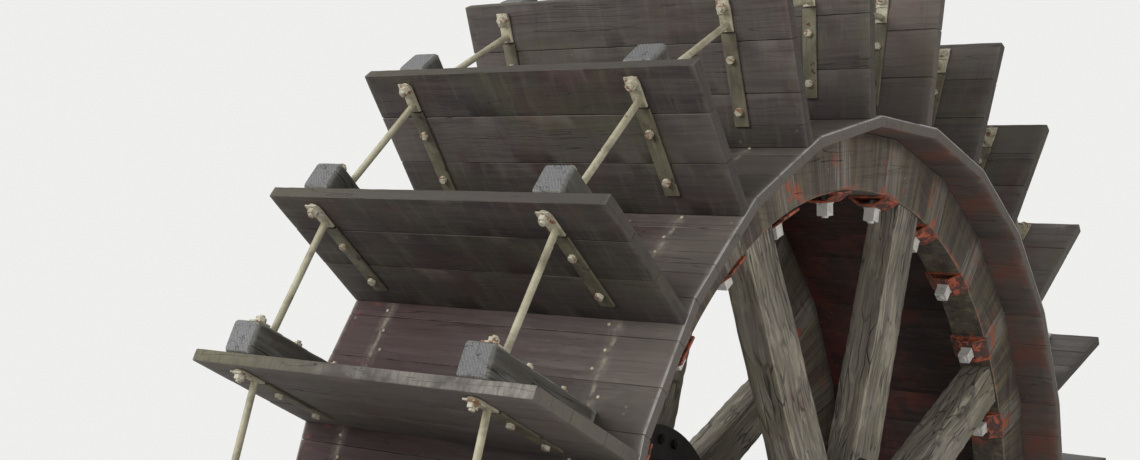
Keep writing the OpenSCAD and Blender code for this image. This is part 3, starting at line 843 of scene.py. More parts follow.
@dataclass(frozen=True)
class FelloeTimber(WornTimber):
    """Felloes: pale lines at the joints, which are painted highlights, and upright fibres where each start is let in,
    with rust runs from the saddles.
    """

    scribe_and_highlight: Colour = srgb("a39c90")
    moss: Colour = srgb("716c50")
    rust: Colour = srgb("a0543a")

    def local(self, sketch: NodeSketch, colour: Wire, place: Wire) -> Wire:
        """Draw the let-in cheeks, the pale joint lines as painted highlights, the rust and the shade under the sole.

        Args:
            sketch: The material's tree.
            colour: The colour so far.
            place: Along the axle, away from the nearest start and out from the axle.

        Returns:
            The new colour.
        """
        _, aside, z = place.parts()
        along, out, through = sketch.read("grain", "Vector").parts()
        half, inner, outer, where = PLAN.start_w / 2, PLAN.felloe_r, PLAN.rim_flat, sketch.where()
        radial = sketch.combine(sketch.maths("ARCTAN2", along, out) * 1.9, out * 0.05, through * 0.6)
        dirt = sketch.mix(sketch.noise(radial, 19.0, 6.0, 0.7).ramp(0.38, 0.6), self.moss, self.dark)
        colour = sketch.mix(sketch.noise(radial, 31.0, 5.0, 0.65).ramp(0.38, 0.58, 0.0, 0.75), colour, dirt)
        upright = sketch.mix(sketch.noise(radial, 46.0, 5.0, 0.62).ramp(0.3, 0.72), self.dark, self.scribe_and_highlight)
        colour = sketch.mix(aside.ramp(half - 0.002, half + 0.002, 1.0, 0.0) * 0.5, colour, upright)
        # Painted highlight: a pale line along the edge of each start's cheek.
        line = abs(aside - half).ramp(0.001, 0.006, 0.5, 0.0)
        colour = sketch.mix(line * sketch.noise(place, 11.0).ramp(0.35, 0.6), colour, self.scribe_and_highlight)
        near = aside.ramp(0.06, 0.16, 1.0, 0.0) * z.ramp(inner + 0.009, outer - 0.041, 1.0, 0.15)
        patch = BLOTCH.mask(sketch, Where=where, Size=8.0, Cover=0.40, Edge=0.04)
        colour = sketch.mix(patch * near, colour, self.rust)
        arc = z.ramp(inner + 0.008, inner + 0.025, 0.75, 0.0) * sketch.noise(where, 9.0, 4.0, 0.7).ramp(0.5, 0.62)
        colour = sketch.mix(arc * abs(through).ramp(0.080, 0.088), colour, self.rust)
        return sketch.mix(z.ramp(outer - 0.061, outer - 0.001, 0.0, 0.55), colour, self.dark)


@dataclass(frozen=True)
class WornIron(Finish):
    """Painted or bare ironwork, chipped to rust, with grime in its hollows."""

    name: str
    paint_colour: Colour
    under: Colour
    rust: Colour
    chips: float = 0.35
    grime: Colour = srgb("4a4438")
    grime_cover: float = 0.3
    grime_share: float = 0.7
    roughness: float = 0.55
    metallic: float = 0.0
    size: float = 22.0
    core: Colour | None = None
    core_reach: float = 0.014
    relief: float = 0.0012

    def paint(self, sketch: NodeSketch, shader: bpy.types.Node) -> None:
        """Lay the paint, with a dark core between its edges if it has one, then grime and chips.

        Args:
            sketch: The material's tree.
            shader: Its shader.
        """
        where = sketch.where()
        cloud = sketch.noise(where, self.size * 0.6, 4.0, 0.6)
        colour = sketch.mix(cloud.ramp(0.3, 0.75), self.paint_colour, self.under)
        if self.core:
            broken = sketch.noise(where, 30.0, 4.0, 0.7).ramp(0.3, 0.7, -0.2, 0.75)
            level = EDGE.mask(sketch, Reach=self.core_reach) + broken
            colour = sketch.mix(level.ramp(0.15, 0.6), self.core, colour)
        grime = BLOTCH.mask(sketch, Where=where, Size=self.size * 0.45, Cover=self.grime_cover, Edge=0.12)
        colour = sketch.mix(grime * self.grime_share, colour, self.grime)
        chip = BLOTCH.mask(sketch, Where=where.moved((5.0, 2.0, 1.0)), Size=self.size, Cover=self.chips, Edge=0.02)
        pit = sketch.noise(where, self.size * 6, 3.0, 0.6)
        colour = sketch.mix(chip, colour, sketch.mix(pit, self.rust, self.grime))
        shader.inputs["Metallic"].default_value = self.metallic
        roughness = chip.ramp(0.0, 1.0, self.roughness, 0.9)
        self.coat(sketch, shader, colour, roughness, pit * 0.35 - chip * 0.6, self.relief)


@dataclass(frozen=True)
class DressedStone(Finish):
    """Squared stone: speckled, weathered and damp at its foot."""

    name: str
    light: Colour
    dark: Colour
    lichen: Colour
    lichen_share: float = 0.5
    damp: Colour = srgb("4c4a3b")
    damp_share: float = 0.55
    roughness: float = 0.9
    relief: float = 0.006

    def paint(self, sketch: NodeSketch, shader: bpy.types.Node) -> None:
        """Lay the stone's cloud and grit, then lichen and damp.

        Args:
            sketch: The material's tree.
            shader: Its shader.
        """
        where = sketch.where()
        cloud = sketch.noise(where, 2.2, 6.0, 0.62, 0.3)
        grit = sketch.noise(where, 90.0, 3.0, 0.7)
        level = cloud * 0.55 + (grit * 0.2 + sketch.read("piece") * 0.25)
        colour = sketch.mix(level.ramp(0.3, 0.7), self.dark, self.light)
        lichen = BLOTCH.mask(sketch, Where=where, Size=5.0, Cover=0.32, Edge=0.08)
        colour = sketch.mix(lichen * self.lichen_share, colour, self.lichen)
        rise = where.parts()[2] + cloud * 0.5
        colour = sketch.mix(rise.ramp(0.35, 1.0, self.damp_share, 0.0), colour, self.damp)
        self.coat(sketch, shader, colour, self.roughness, grit * 0.35 + cloud, self.relief)


@dataclass(frozen=True)
class OiledBronze(Finish):
    """The bearings' brasses: dull, with dark oil round the journal."""

    name: str = "oiled_bronze"
    bright: Colour = srgb("b08a48")
    dull: Colour = srgb("5d4526")
    relief: float = 0.0006

    def paint(self, sketch: NodeSketch, shader: bpy.types.Node) -> None:
        """Join the film of oil to the shader."""
        film = sketch.noise(sketch.where(), 14.0, 5.0, 0.6)
        colour = sketch.mix(film.ramp(0.35, 0.7), self.bright, self.dull)
        shader.inputs["Metallic"].default_value = 1.0
        self.coat(sketch, shader, colour, film.ramp(0.0, 1.0, 0.28, 0.6), film, self.relief)


FLOATS = FloatTimber("float_boards", dark=srgb("383130"), light=srgb("655c58"), arris=srgb("6c665b"),
                     stain=srgb("593733"), algae=srgb("58573f"), end_grain=srgb("4b4641"), fibre=58.0, cracks=0.12,
                     arris_share=0.5, stain_cover=0.4, algae_cover=0.48, streaks=0.22, checks=0.12)
SOLE = SoleTimber("sole_boards", dark=srgb("2e2523"), light=srgb("4f4541"), arris=srgb("7d756a"),
                  stain=srgb("4e322b"), algae=srgb("4c4838"), end_grain=srgb("544f4a"), fibre=54.0, cracks=0.12,
                  stain_cover=0.36, algae_cover=0.36, speck_share=0.1, streaks=0.22, checks=0.16)
STARTS = WornTimber("start_oak", dark=srgb("34312b"), light=srgb("5e5a52"), arris=srgb("9b9a93"),
                    stain=srgb("503c34"), algae=srgb("444633"), end_grain=srgb("7d7d7d"), fibre=60.0, cracks=0.2,
                    arris_share=0.75, streaks=0.3, checks=0.3)
ARMS = WornTimber("arm_oak", dark=srgb("4e473e"), light=srgb("9a9283"), arris=srgb("b0a894"),
                  stain=srgb("6f4c41"), algae=srgb("726c52"), end_grain=srgb("8a8272"), fibre=52.0, cracks=0.7,
                  arris_share=0.65, stain_cover=0.26, algae_cover=0.42, streaks=0.6, checks=0.9, waviness=2.6)
FELLOES = FelloeTimber("felloe_oak", dark=srgb("3d332f"), light=srgb("685d55"), arris=srgb("89816f"),
                       stain=srgb("643f33"), algae=srgb("57543d"), end_grain=srgb("7b7368"), fibre=44.0, cracks=0.14,
                       algae_cover=0.4, streaks=0.15, checks=0.12)
AXLE = WornTimber("axle_oak", dark=srgb("3b332a"), light=srgb("6e6351"), arris=srgb("8c8371"), stain=srgb("5a3f30"),
                  algae=srgb("4c4a36"), end_grain=srgb("857b69"), fibre=40.0, cracks=1.2, streaks=0.5, checks=0.6)
CREAM = WornIron("cream_iron", paint_colour=srgb("bcb69b"), under=srgb("9c957d"), rust=srgb("6e4a34"), chips=0.26,
                 grime=srgb("69624f"), grime_cover=0.36)
NUTS = WornIron("bolt_iron", paint_colour=srgb("c4beaa"), under=srgb("a0977f"), rust=srgb("a0684a"), chips=0.44,
                grime=srgb("756a52"), grime_cover=0.3, size=34.0)
WHITE = WornIron("white_iron", paint_colour=srgb("d8d5ce"), under=srgb("bab6ac"), rust=srgb("6f4d3c"), chips=0.22,
                 grime=srgb("7a756c"), grime_cover=0.3, size=30.0)
RED = WornIron("red_iron", paint_colour=srgb("c4643f"), under=srgb("9a432e"), rust=srgb("46322a"), chips=0.42,
               grime=srgb("5e463b"), grime_cover=0.4, size=26.0, core=srgb("4b3430"))
BARE = WornIron("bare_iron", paint_colour=srgb("77725b"), under=srgb("565041"), rust=srgb("54392b"), chips=0.36,
                grime=srgb("443f34"), grime_cover=0.42, roughness=0.7, size=14.0)
BLACK = WornIron("black_iron", paint_colour=srgb("3a3735"), under=srgb("2d2a29"), rust=srgb("6b452f"), chips=0.28,
                 grime=srgb("4d463d"), roughness=0.5, metallic=0.35, size=9.0)
STONE = DressedStone("pier_stone", light=srgb("a8a18c"), dark=srgb("7d7664"), lichen=srgb("888b6c"))
LIME = DressedStone("lime_mortar", light=srgb("b5ae9c"), dark=srgb("938c7b"), lichen=srgb("85836a"))
BRONZE = OiledBronze()


# ---------------------------------------------------------------- sub-assemblies


@dataclass
class Floats:
    """The twenty-four floats, each of three boards laid edge to edge on their starts."""

    plan: WheelPlan
    boards: int = 3
    seam: float = 0.0008
    stagger: float = 0.08
    set_back: float = 0.0015
    steps: int = 34
    worn_radius: float = 0.002
    rough: float = 0.0022
    # These floats get pale outer edges and lighter faces, which are painted light, as on a float that the light falls
    # on.
    pale_and_lit_edges: tuple[int, ...] = (3, 6, 10, 15, 19, 22)
    pale_and_lit_dryness: float = 0.95
    usual_dry: float = 0.3
    seed: int = 11
    first_board: int = 1000

    def build(self) -> bpy.types.Object:
        """Make every board of every float."""
        draft, plan, rng = MeshDraft(), self.plan, random.Random(self.seed)
        face, back = -plan.start_w / 2 - plan.float_t, -plan.start_w / 2
        height = plan.tip_radius - plan.sole_radius
        last = self.boards - 1
        for f, angle in enumerate(plan.start_angles()):
            cuts = [0.0] + [(k + rng.uniform(-self.stagger, self.stagger)) / self.boards
                            for k in range(1, self.boards)] + [1.0]
            for k in range(self.boards):
                low = plan.sole_radius + height * cuts[k] + (self.seam / 2 if k else 0.0)
                high = plan.sole_radius + height * cuts[k + 1] - (self.seam / 2 if k < last else 0.0)
                fall = 0.0 if k else plan.slope
                front = face + rng.uniform(0.0, self.set_back)
                section = [(front, low + face * fall), (front, high), (back, high), (back, low + back * fall)]
                timber = Timber(lambda s: section, plan.width, self.steps, self.worn_radius, self.rough)
                local, faces, wear = timber.mesh(self.first_board + 10 * f + k)
                points = local - np.array([plan.width / 2, 0, 0])
                piece = rng.random()
                draft.add(plan.turn(points, angle), [q[::-1] for q in faces], local, points, wear, piece, ends=2,
                          dryness_and_light=self.pale_and_lit_dryness if f in self.pale_and_lit_edges else self.usual_dry * piece)
        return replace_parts(draft.build("float_boards", "wheel", "float_boards", FLOATS.material()), "floats")


@dataclass
class Sole:
    """The sole: three boards laid along each flat, from one start to the next."""

    plan: WheelPlan
    boards: int = 3
    seam: float = 0.0008
    stagger: float = 0.07
    set_back: float = 0.0025
    steps: int = 30
    worn_radius: float = 0.002
    rough: float = 0.0016
    seed: int = 23
    first_board: int = 3000

    def build(self) -> bpy.types.Object:
        """Make every board of the sole."""
        draft, plan, rng = MeshDraft(), self.plan, random.Random(self.seed)
        half = plan.sole_flat * plan.slope - self.seam / 2
        shrink, last = plan.sole_t * plan.slope, self.boards - 1
        for i, start in enumerate(plan.start_angles()):
            cuts = [half * (-1 + 2 * (k + rng.uniform(-self.stagger, self.stagger)) / self.boards)
                    for k in range(1, self.boards)]
            cuts = [-half] + cuts + [half]
            for k in range(self.boards):
                low = cuts[k] + (self.seam / 2 if k else 0.0)
                high = cuts[k + 1] - (self.seam / 2 if k < last else 0.0)
                top = plan.sole_flat - rng.uniform(0.0, self.set_back)
                section = [(low + (0.0 if k else shrink), plan.rim_flat), (low, top), (high, top),
                           (high - (shrink if k == last else 0.0), plan.rim_flat)]
                timber = Timber(lambda s: section, plan.width, self.steps, self.worn_radius, self.rough)
                local, faces, wear = timber.mesh(self.first_board + 10 * i + k)
                points = local - np.array([plan.width / 2, 0, 0])
                draft.add(plan.turn(points, start + plan.pitch / 2), [q[::-1] for q in faces], local, points, wear,
                          rng.random(), ends=2)
        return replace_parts(draft.build("sole_planks", "wheel", "sole_boards", SOLE.material()), "sole")


@dataclass
class Ring:
    """One ring of the wheel: its felloes, arms and starts."""

    plan: WheelPlan
    side: Side
    felloe_steps: int = 40
    felloe_gap: float = 0.0011
    felloe_end: float = 0.12
    felloe_radius: float = 0.006
    felloe_rough: float = 0.002
    felloe_ease: float = 0.0004
    felloe_tip: float = 0.004
    post_radius: float = 0.009
    arm_rough: float = 0.004
    arm_steps: int = 46
    hub_lap: float = 0.020
    felloe_lap: float = 0.012
    start_rough: float = 0.003
    start_steps: int = 14
    start_foot: float = 0.010
    sole_lap: float = 0.004
    felloe_seed: int = 5000
    arm_seed: int = 7000
    start_seed: int = 9000
    left_seeds: int = 100

    def build(self) -> None:
        """Make the ring's three kinds of timber."""
        self.felloes()
        self.arms()
        self.starts()

    def finished(self, draft: MeshDraft, kind: str, finish: Finish) -> None:
        """Build one kind of timber, which stands for the frame's node of that kind and side."""
        name = kind + "_" + self.side.value
        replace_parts(draft.build("ring_" + name, "wheel", "oak_" + kind, finish.material()), name)

    def felloes(self) -> None:
        """Make the eight felloes, each sawn from one timber and butted at the arms."""
        plan, draft, rng = self.plan, MeshDraft(), random.Random(self.side.pick(31, 37))
        shift = np.array([plan.ring_x(self.side), 0, 0])
        gap = math.degrees(self.felloe_gap / plan.felloe_r)
        for j, first in enumerate(plan.arm_angles()):
            points, grain, place, wear, faces = self.felloe(first + gap, first + plan.arm_pitch - gap,
                                                            self.felloe_seed + j)
            draft.add(plan.turn(points + shift, first + plan.arm_pitch / 2), faces, grain, place + shift, wear,
                      rng.random(), ends=2)
        self.finished(draft, "felloes", FELLOES)

    def felloe(self, first: float, last: float,
               seed: int) -> tuple[np.ndarray, np.ndarray, np.ndarray, np.ndarray, Faces]:
        """Make one felloe, seen from the angle of its middle.

        Args:
            first: Angle of its first end, in degrees.
            last: Angle of its last end.
            seed: The seed of its unevenness.

        Returns:
            Points, grain, place and wear a point, and the faces with the two ends last.
        """
        plan, ripple = self.plan, Ripple(seed)
        half_t, inner = plan.felloe_t / 2, plan.felloe_r
        turns = range(-2 * plan.floats, 2 * plan.floats + 1)
        corners = [plan.rest_turn + k * plan.pitch for k in turns]
        flats = [plan.rest_turn + plan.pitch / 2 + k * plan.pitch for k in turns]
        angles = sorted({first, first + self.felloe_end, last - self.felloe_end, last}
                        | {first + (last - first) * k / self.felloe_steps for k in range(1, self.felloe_steps)}
                        | {a for a in corners if first < a < last})
        rings, grains, places, wears = [], [], [], []
        for n, angle in enumerate(angles):
            aside = min((angle - corner for corner in corners), key=abs)
            away = min(abs(angle - flat) for flat in flats)
            outer = (plan.rim_flat - self.felloe_ease) / math.cos(math.radians(away))
            outline, wear = rounded_section([(-half_t, inner), (-half_t, outer), (half_t, outer), (half_t, inner)],
                                            self.felloe_radius, 3)
            tip = n in (0, len(angles) - 1)
            spot = np.hstack([outline, np.full((len(outline), 1), angle * 0.03)])
            back = self.felloe_rough * (0.3 + 0.7 * ripple.at(spot, 2.7)) * (0.5 + 1.5 * wear)
            back = back + (self.felloe_tip if tip else 0.0)
            x = outline[:, 0] - np.sign(outline[:, 0]) * np.minimum(back, np.abs(outline[:, 0]))
            r = outline[:, 1] - np.sign(outline[:, 1] - (inner + outer) / 2) * back * 0.7
            off = math.radians(angle - (first + last) / 2)
            y, z = -r * math.sin(off), r * math.cos(off)
            rings.append(np.stack([x, y, z], axis=1))
            grains.append(np.stack([y, z, x], axis=1))
            places.append(np.stack([x, r * abs(math.sin(math.radians(aside))), r], axis=1))
            wears.append(np.maximum(wear, END_WEAR if tip else 0.0))
        faces = skin(len(rings), len(rings[0]), reverse=True)
        return np.concatenate(rings), np.concatenate(grains), np.concatenate(places), np.concatenate(wears), faces

    def post(self, timber: Timber, seed: int, low: float) -> tuple[np.ndarray, np.ndarray, Faces, np.ndarray]:
        """Make a timber that stands out from the axle in the middle of this ring.

        Args:
            timber: The timber.
            seed: The seed of its unevenness on the right ring.
            low: Distance from the axle to its root.

        Returns:
            Its points upright above the axle, the points along its grain, its faces and its wear.
        """
        local, faces, wear = timber.mesh(seed + int(self.side.pick(0, self.left_seeds)))
        along, across, through = local.T
        return np.stack([through + self.plan.ring_x(self.side), across, along + low], axis=1), local, faces, wear

    def arms(self) -> None:
        """Make the eight arms, from the hub's boss to the felloes."""
        plan, draft, rng = self.plan, MeshDraft(), random.Random(self.side.pick(41, 43))
        low, high = plan.boss_r - self.hub_lap, plan.felloe_r + self.felloe_lap

        def corners(s: float) -> list[tuple[float, float]]:
            """Outline of an arm at a distance from its root."""
            share = s / (high - low)
            half, t = (plan.arm_root_w * (1 - share) + plan.arm_head_w * share) / 2, plan.arm_t / 2
            return [(-half, -t), (-half, t), (half, t), (half, -t)]

        timber = Timber(corners, high - low, self.arm_steps, self.post_radius, self.arm_rough, between=4)
        for j, angle in enumerate(plan.arm_angles()):
            points, local, faces, wear = self.post(timber, self.arm_seed + j, low)
            draft.add(plan.turn(points, angle), faces, local, points, wear, rng.random(), ends=2)
        self.finished(draft, "arms", ARMS)

    def starts(self) -> None:
        """Make the twenty-four starts, astride the corners of the sole."""
        plan, draft, rng = self.plan, MeshDraft(), random.Random(self.side.pick(47, 53))
        half, low = plan.start_w / 2, plan.sole_radius - self.sole_lap
        section = [(-half, -half), (-half, half), (half, half), (half, -half)]
        timber = Timber(lambda s: section, plan.tip_radius - low, self.start_steps, self.post_radius,
                        self.start_rough, between=3)
        for j, angle in enumerate(plan.start_angles()):
            points, local, faces, wear = self.post(timber, self.start_seed + j, low)
            foot = local[:, 0] < self.start_foot
            points[foot, 2] = plan.sole_radius - np.abs(points[foot, 1]) * plan.slope + local[foot, 0]
            draft.add(plan.turn(points, angle), faces, local, points, wear, rng.random(), ends=2)
        self.finished(draft, "starts", STARTS)


@dataclass
class Axle:
    """The oak axle: eight flats, with a turned neck at each end."""

    plan: WheelPlan
    width: float = 0.460
    flats: int = 8
    overhang: float = 0.030
    neck_d: float = 0.440
    neck_l: float = 0.115
    neck_rough: float = 0.1
    chamfer: float = 0.006
    arris_radius: float = 0.012
    rough: float = 0.0035
    steps: int = 48
    seed: int = 83

    def build(self) -> bpy.types.Object:
        """Carry the outline of flats and necks along the axle."""
        end = self.plan.width / 2 + self.overhang
        body, turn = end - self.neck_l, 2 * math.pi / self.flats
        corner_r = self.width / 2 / math.cos(turn / 2)
        flats, arris = rounded_section([(corner_r * math.cos(turn * (k + 0.5)), corner_r * math.sin(turn * (k + 0.5)))
                                        for k in range(self.flats)], self.arris_radius)
        turns = np.arctan2(flats[:, 1], flats[:, 0])
        neck, plain = self.neck_d / 2 * np.stack([np.cos(turns), np.sin(turns)], axis=1), np.zeros(len(flats))
        tip = [(end, neck * 0.985, plain + END_WEAR), (end - self.chamfer, neck, plain + 0.6), (body, neck, plain)]
        stations = [(-x, outline, wear) for x, outline, wear in tip]
        stations += [(-body + 2 * body * k / self.steps, flats, arris) for k in range(self.steps + 1)]
        stations += tip[::-1]
        ripple = Ripple(self.seed)
        rings = []
        for x, outline, wear in stations:
            ring = np.hstack([np.full((len(outline), 1), x), outline])
            back = self.rough * ripple.at(ring, 2.2) * (1 + wear) * (self.neck_rough if abs(x) >= body else 1.0)
            size = np.linalg.norm(outline, axis=1)
            ring[:, 1:] = outline * ((size - back) / size)[:, None]
            rings.append(ring)
        points = np.concatenate(rings)
        wears = np.concatenate([wear for _, _, wear in stations])
        faces = skin(len(rings), len(flats))
        faces = [q[1:] + q[:1] for q in faces[:-2]] + faces[-2:]  # the sides fold along their other diagonal
        draft = MeshDraft()
        draft.add(points + np.array([0, 0, self.plan.axle_z]), faces, points, points, wears, 0.4, ends=2)
        obj = draft.build("axle_timber", "wheel", "oak_axle", AXLE.material(), sharp=30.0)
        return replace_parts(obj, "axle")


@dataclass
class SoleNails:
    """Nails and coach bolts that hold the sole boards to the felloes."""

    plan: WheelPlan
    nails: int = 6
    nail_gap: float = 0.094
    nail_drift: float = 0.018
    nail_spread: float = 0.045
    nail_r: float = 0.007
    nail_h: float = 0.0024
    bolt_at: float = 0.19
    bolt_spread: float = 0.010
    bolt_r: float = 0.022
    bolt_h: float = 0.011
    sunk: float = 0.004
    sides: int = 10
    seed: int = 61

    def build(self) -> bpy.types.Object:
        """Make two nails a board over each ring, and one coach bolt a flat."""
        draft, plan, rng = MeshDraft(), self.plan, random.Random(self.seed)
        for start in plan.start_angles():
            angle = start + plan.pitch / 2
            for side in Side:
                x = plan.ring_x(side)
                for k in range(self.nails):
                    t = self.nail_gap * (k - (self.nails - 1) / 2) + rng.uniform(-self.nail_drift, self.nail_drift)
                    at = x + rng.uniform(-self.nail_spread, self.nail_spread)
                    self.head(draft, angle, at, t, self.nail_r, self.nail_h, rng.random())
                at = x + rng.uniform(-self.bolt_spread, self.bolt_spread)
                self.head(draft, angle, at, self.bolt_at, self.bolt_r, self.bolt_h, rng.random())
        return draft.build("sole_fixings", "wheel", "cream_iron", CREAM.material(), sharp=60.0)

    def head(self, draft: MeshDraft, angle: float, x: float, t: float, radius: float, rise: float,
             piece: float) -> None:
        """Add one domed head on a flat of the sole.

        Args:
            draft: The mesh that it goes into.
            angle: Angle of the flat's middle, in degrees.
            x: Its place along the axle.
            t: Its place along the rim, from the flat's middle.
            radius: Its radius.
            rise: Its height.
            piece: A number of its own from 0 to 1.
        """
        rows = [(1.0, -self.sunk), (1.0, 0.15 * rise), (0.8, 0.65 * rise), (0.42, rise)]
        turns = [2 * math.pi * k / self.sides for k in range(self.sides)]
        cloud = np.array([(x + share * radius * math.cos(a), t + share * radius * math.sin(a),
                           self.plan.sole_flat + z) for share, z in rows for a in turns])
        draft.add(self.plan.turn(cloud, angle), skin(len(rows), self.sides), cloud, cloud, np.zeros(len(cloud)),
                  piece)


@dataclass
class Ironwork:
    """The frame's own iron pieces, each with its finish and softened arrises."""

    finishes: dict[str, Finish]
    soften: float = 0.0012
    sharp: float = 40.0
    weld: float = 0.00002

    def dress(self, nodes: dict[str, bpy.types.Object]) -> None:
        """Give each named node its finish.

        Args:
            nodes: The frame's nodes by name.
        """
        for base, finish in self.finishes.items():
            for name in (base, base + "_right", base + "_left"):
                if name not in nodes:
                    continue
                obj = nodes[name]
                obj.data.materials.clear()
                obj.data.materials.append(finish.material())
                obj.modifiers.new("weld", "WELD").merge_threshold = self.weld
                bevel = obj.modifiers.new("soften", "BEVEL")
                bevel.width = self.soften
                bevel.segments = 1
                bevel.limit_method = "ANGLE"
                bevel.angle_limit = math.radians(self.sharp)
                log.info("%s: %s", name, finish.name)


@dataclass
class Pier:
    """A pier of squared stones in lime, on a wider footing.

    Each kind's wear is how far its faces are worn back, and the distance between its points.
    """

    side: Side
    length: float = 1.300
    thickness: float = 0.620
    footing_h: float = 0.320
    courses: int = 7
    joint: float = 0.010
    joint_depth: float = 0.014
    stagger: float = 0.12
    split_drift: float = 0.1
    stone_wear: tuple[float, float] = (0.009, 0.060)
    bed_wear: tuple[float, float] = (0.0015, 0.050)
    mortar_wear: tuple[float, float] = (0.001, 0.120)

    def build(self) -> None:
        """Make the pier's stones and the mortar between them."""
        node, bed, back = "pier_" + self.side.value, "bed_stone_" + self.side.value, self.joint_depth
        (low, high), (bed_low, bed_high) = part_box(node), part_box(bed)
        stones, mortar, rng = MeshDraft(), MeshDraft(), random.Random(self.side.pick(71, 73))
        inner = self.side.pick(low.x, high.x - self.thickness)
        rise = (high.z - self.footing_h) / self.courses
        for c in range(self.courses):
            corner = (inner, -self.length / 2, self.footing_h + c * rise)
            self.course(stones, rng, corner, (self.thickness, self.length, rise), c % 2)
        wide, deep = high.x - low.x, high.y - low.y
        self.course(stones, rng, (low.x, low.y, low.z), (wide, deep, self.footing_h), 0)
        self.block(mortar, rng, (inner + back, -self.length / 2 + back, self.footing_h - back),
                   (self.thickness - 2 * back, self.length - 2 * back, high.z - self.footing_h + back),
                   *self.mortar_wear)
        self.block(mortar, rng, (low.x + back, low.y + back, low.z),
                   (wide - 2 * back, deep - 2 * back, self.footing_h - back), *self.mortar_wear)
        self.block(stones, rng, tuple(bed_low), tuple(bed_high - bed_low), *self.bed_wear)
        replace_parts(stones.build(node + "_stones", "stand", "stone", STONE.material(), sharp=50.0), node, bed)
        mortar.build(node + "_mortar", "stand", "stone", LIME.material())

    def course(self, draft: MeshDraft, rng: random.Random, corner: Point, size: Point, bond: int) -> None:
        """Lay one course: three long stones on even courses, four shorter ones on odd ones.

        Args:
            draft: The mesh that it goes into.
            rng: What the places of the joints are drawn from.
            corner: The course's lowest corner.
            size: Its size along each axis.
            bond: 0 on even courses and 1 on odd ones.
        """
        count, half = 3 + bond, self.joint / 2
        under = half if corner[2] > 0.01 else 0.0
        cuts = [(k + rng.uniform(-self.stagger, self.stagger)) / count for k in range(1, count)]
        cuts = [0.0] + cuts + [1.0]
        for k in range(count):
            y0, y1 = corner[1] + cuts[k] * size[1], corner[1] + cuts[k + 1] * size[1]
            splits = [0.0, 1.0]
            if (k + bond) % 2:
                splits.insert(1, 0.5 + rng.uniform(-self.split_drift, self.split_drift))
            near, far = half if k else 0.0, half if k < count - 1 else 0.0
            for a, b in zip(splits, splits[1:]):
                x0, x1 = corner[0] + a * size[0], corner[0] + b * size[0]
                left, right = half if a > 0 else 0.0, half if b < 1 else 0.0
                self.block(draft, rng, (x0 + left, y0 + near, corner[2] + under),
                           (x1 - x0 - left - right, y1 - y0 - near - far, size[2] - half - under),
                           *self.stone_wear)

    def block(self, draft: MeshDraft, rng: random.Random, corner: Point, size: Point, rough: float,
              grid: float) -> None:
        """Add one stone: a gridded box whose faces and arrises are worn back.

        Args:
            draft: The mesh that it goes into.
            rng: What its unevenness and its tint are drawn from.
            corner: Its lowest corner.
            size: Its size along each axis.
            rough: How far the wear takes its faces back.
            grid: The distance between its points.
        """
        ripple = Ripple(rng.randrange(10 ** 6), 12)
        steps = [max(2, round(s / grid)) for s in size]
        index: dict[tuple[int, ...], int] = {}
        faces: Faces = []
        for axis, u, v in ((2, 0, 1), (1, 0, 2), (0, 1, 2)):
            for a in range(steps[u]):
                for b in range(steps[v]):
                    for level in (0, steps[axis]):
                        face = []
                        for da, db in ((0, 0), (1, 0), (1, 1), (0, 1)):
                            key = [0, 0, 0]
                            key[axis], key[u], key[v] = level, a + da, b + db
                            face.append(index.setdefault(tuple(key), len(index)))
                        faces.append(tuple(face[::-1] if (level == 0) != (axis == 1) else face))
        keys = np.array(list(index))
        on_face = (keys == 0) | (keys == np.array(steps))
        cloud, worn = keys / np.array(steps) * np.array(size), (on_face.sum(axis=1) >= 2).astype(float)
        outward = np.where(on_face, np.sign(keys - np.array(steps) / 2), 0.0)
        sunk = rough * (0.15 + 0.85 * ripple.at(cloud + np.array(corner), 4.0)) * (1 + 0.7 * worn)
        placed = cloud - outward * sunk[:, None] + np.array(corner)
        draft.add(placed, faces, placed, placed, worn, rng.random())


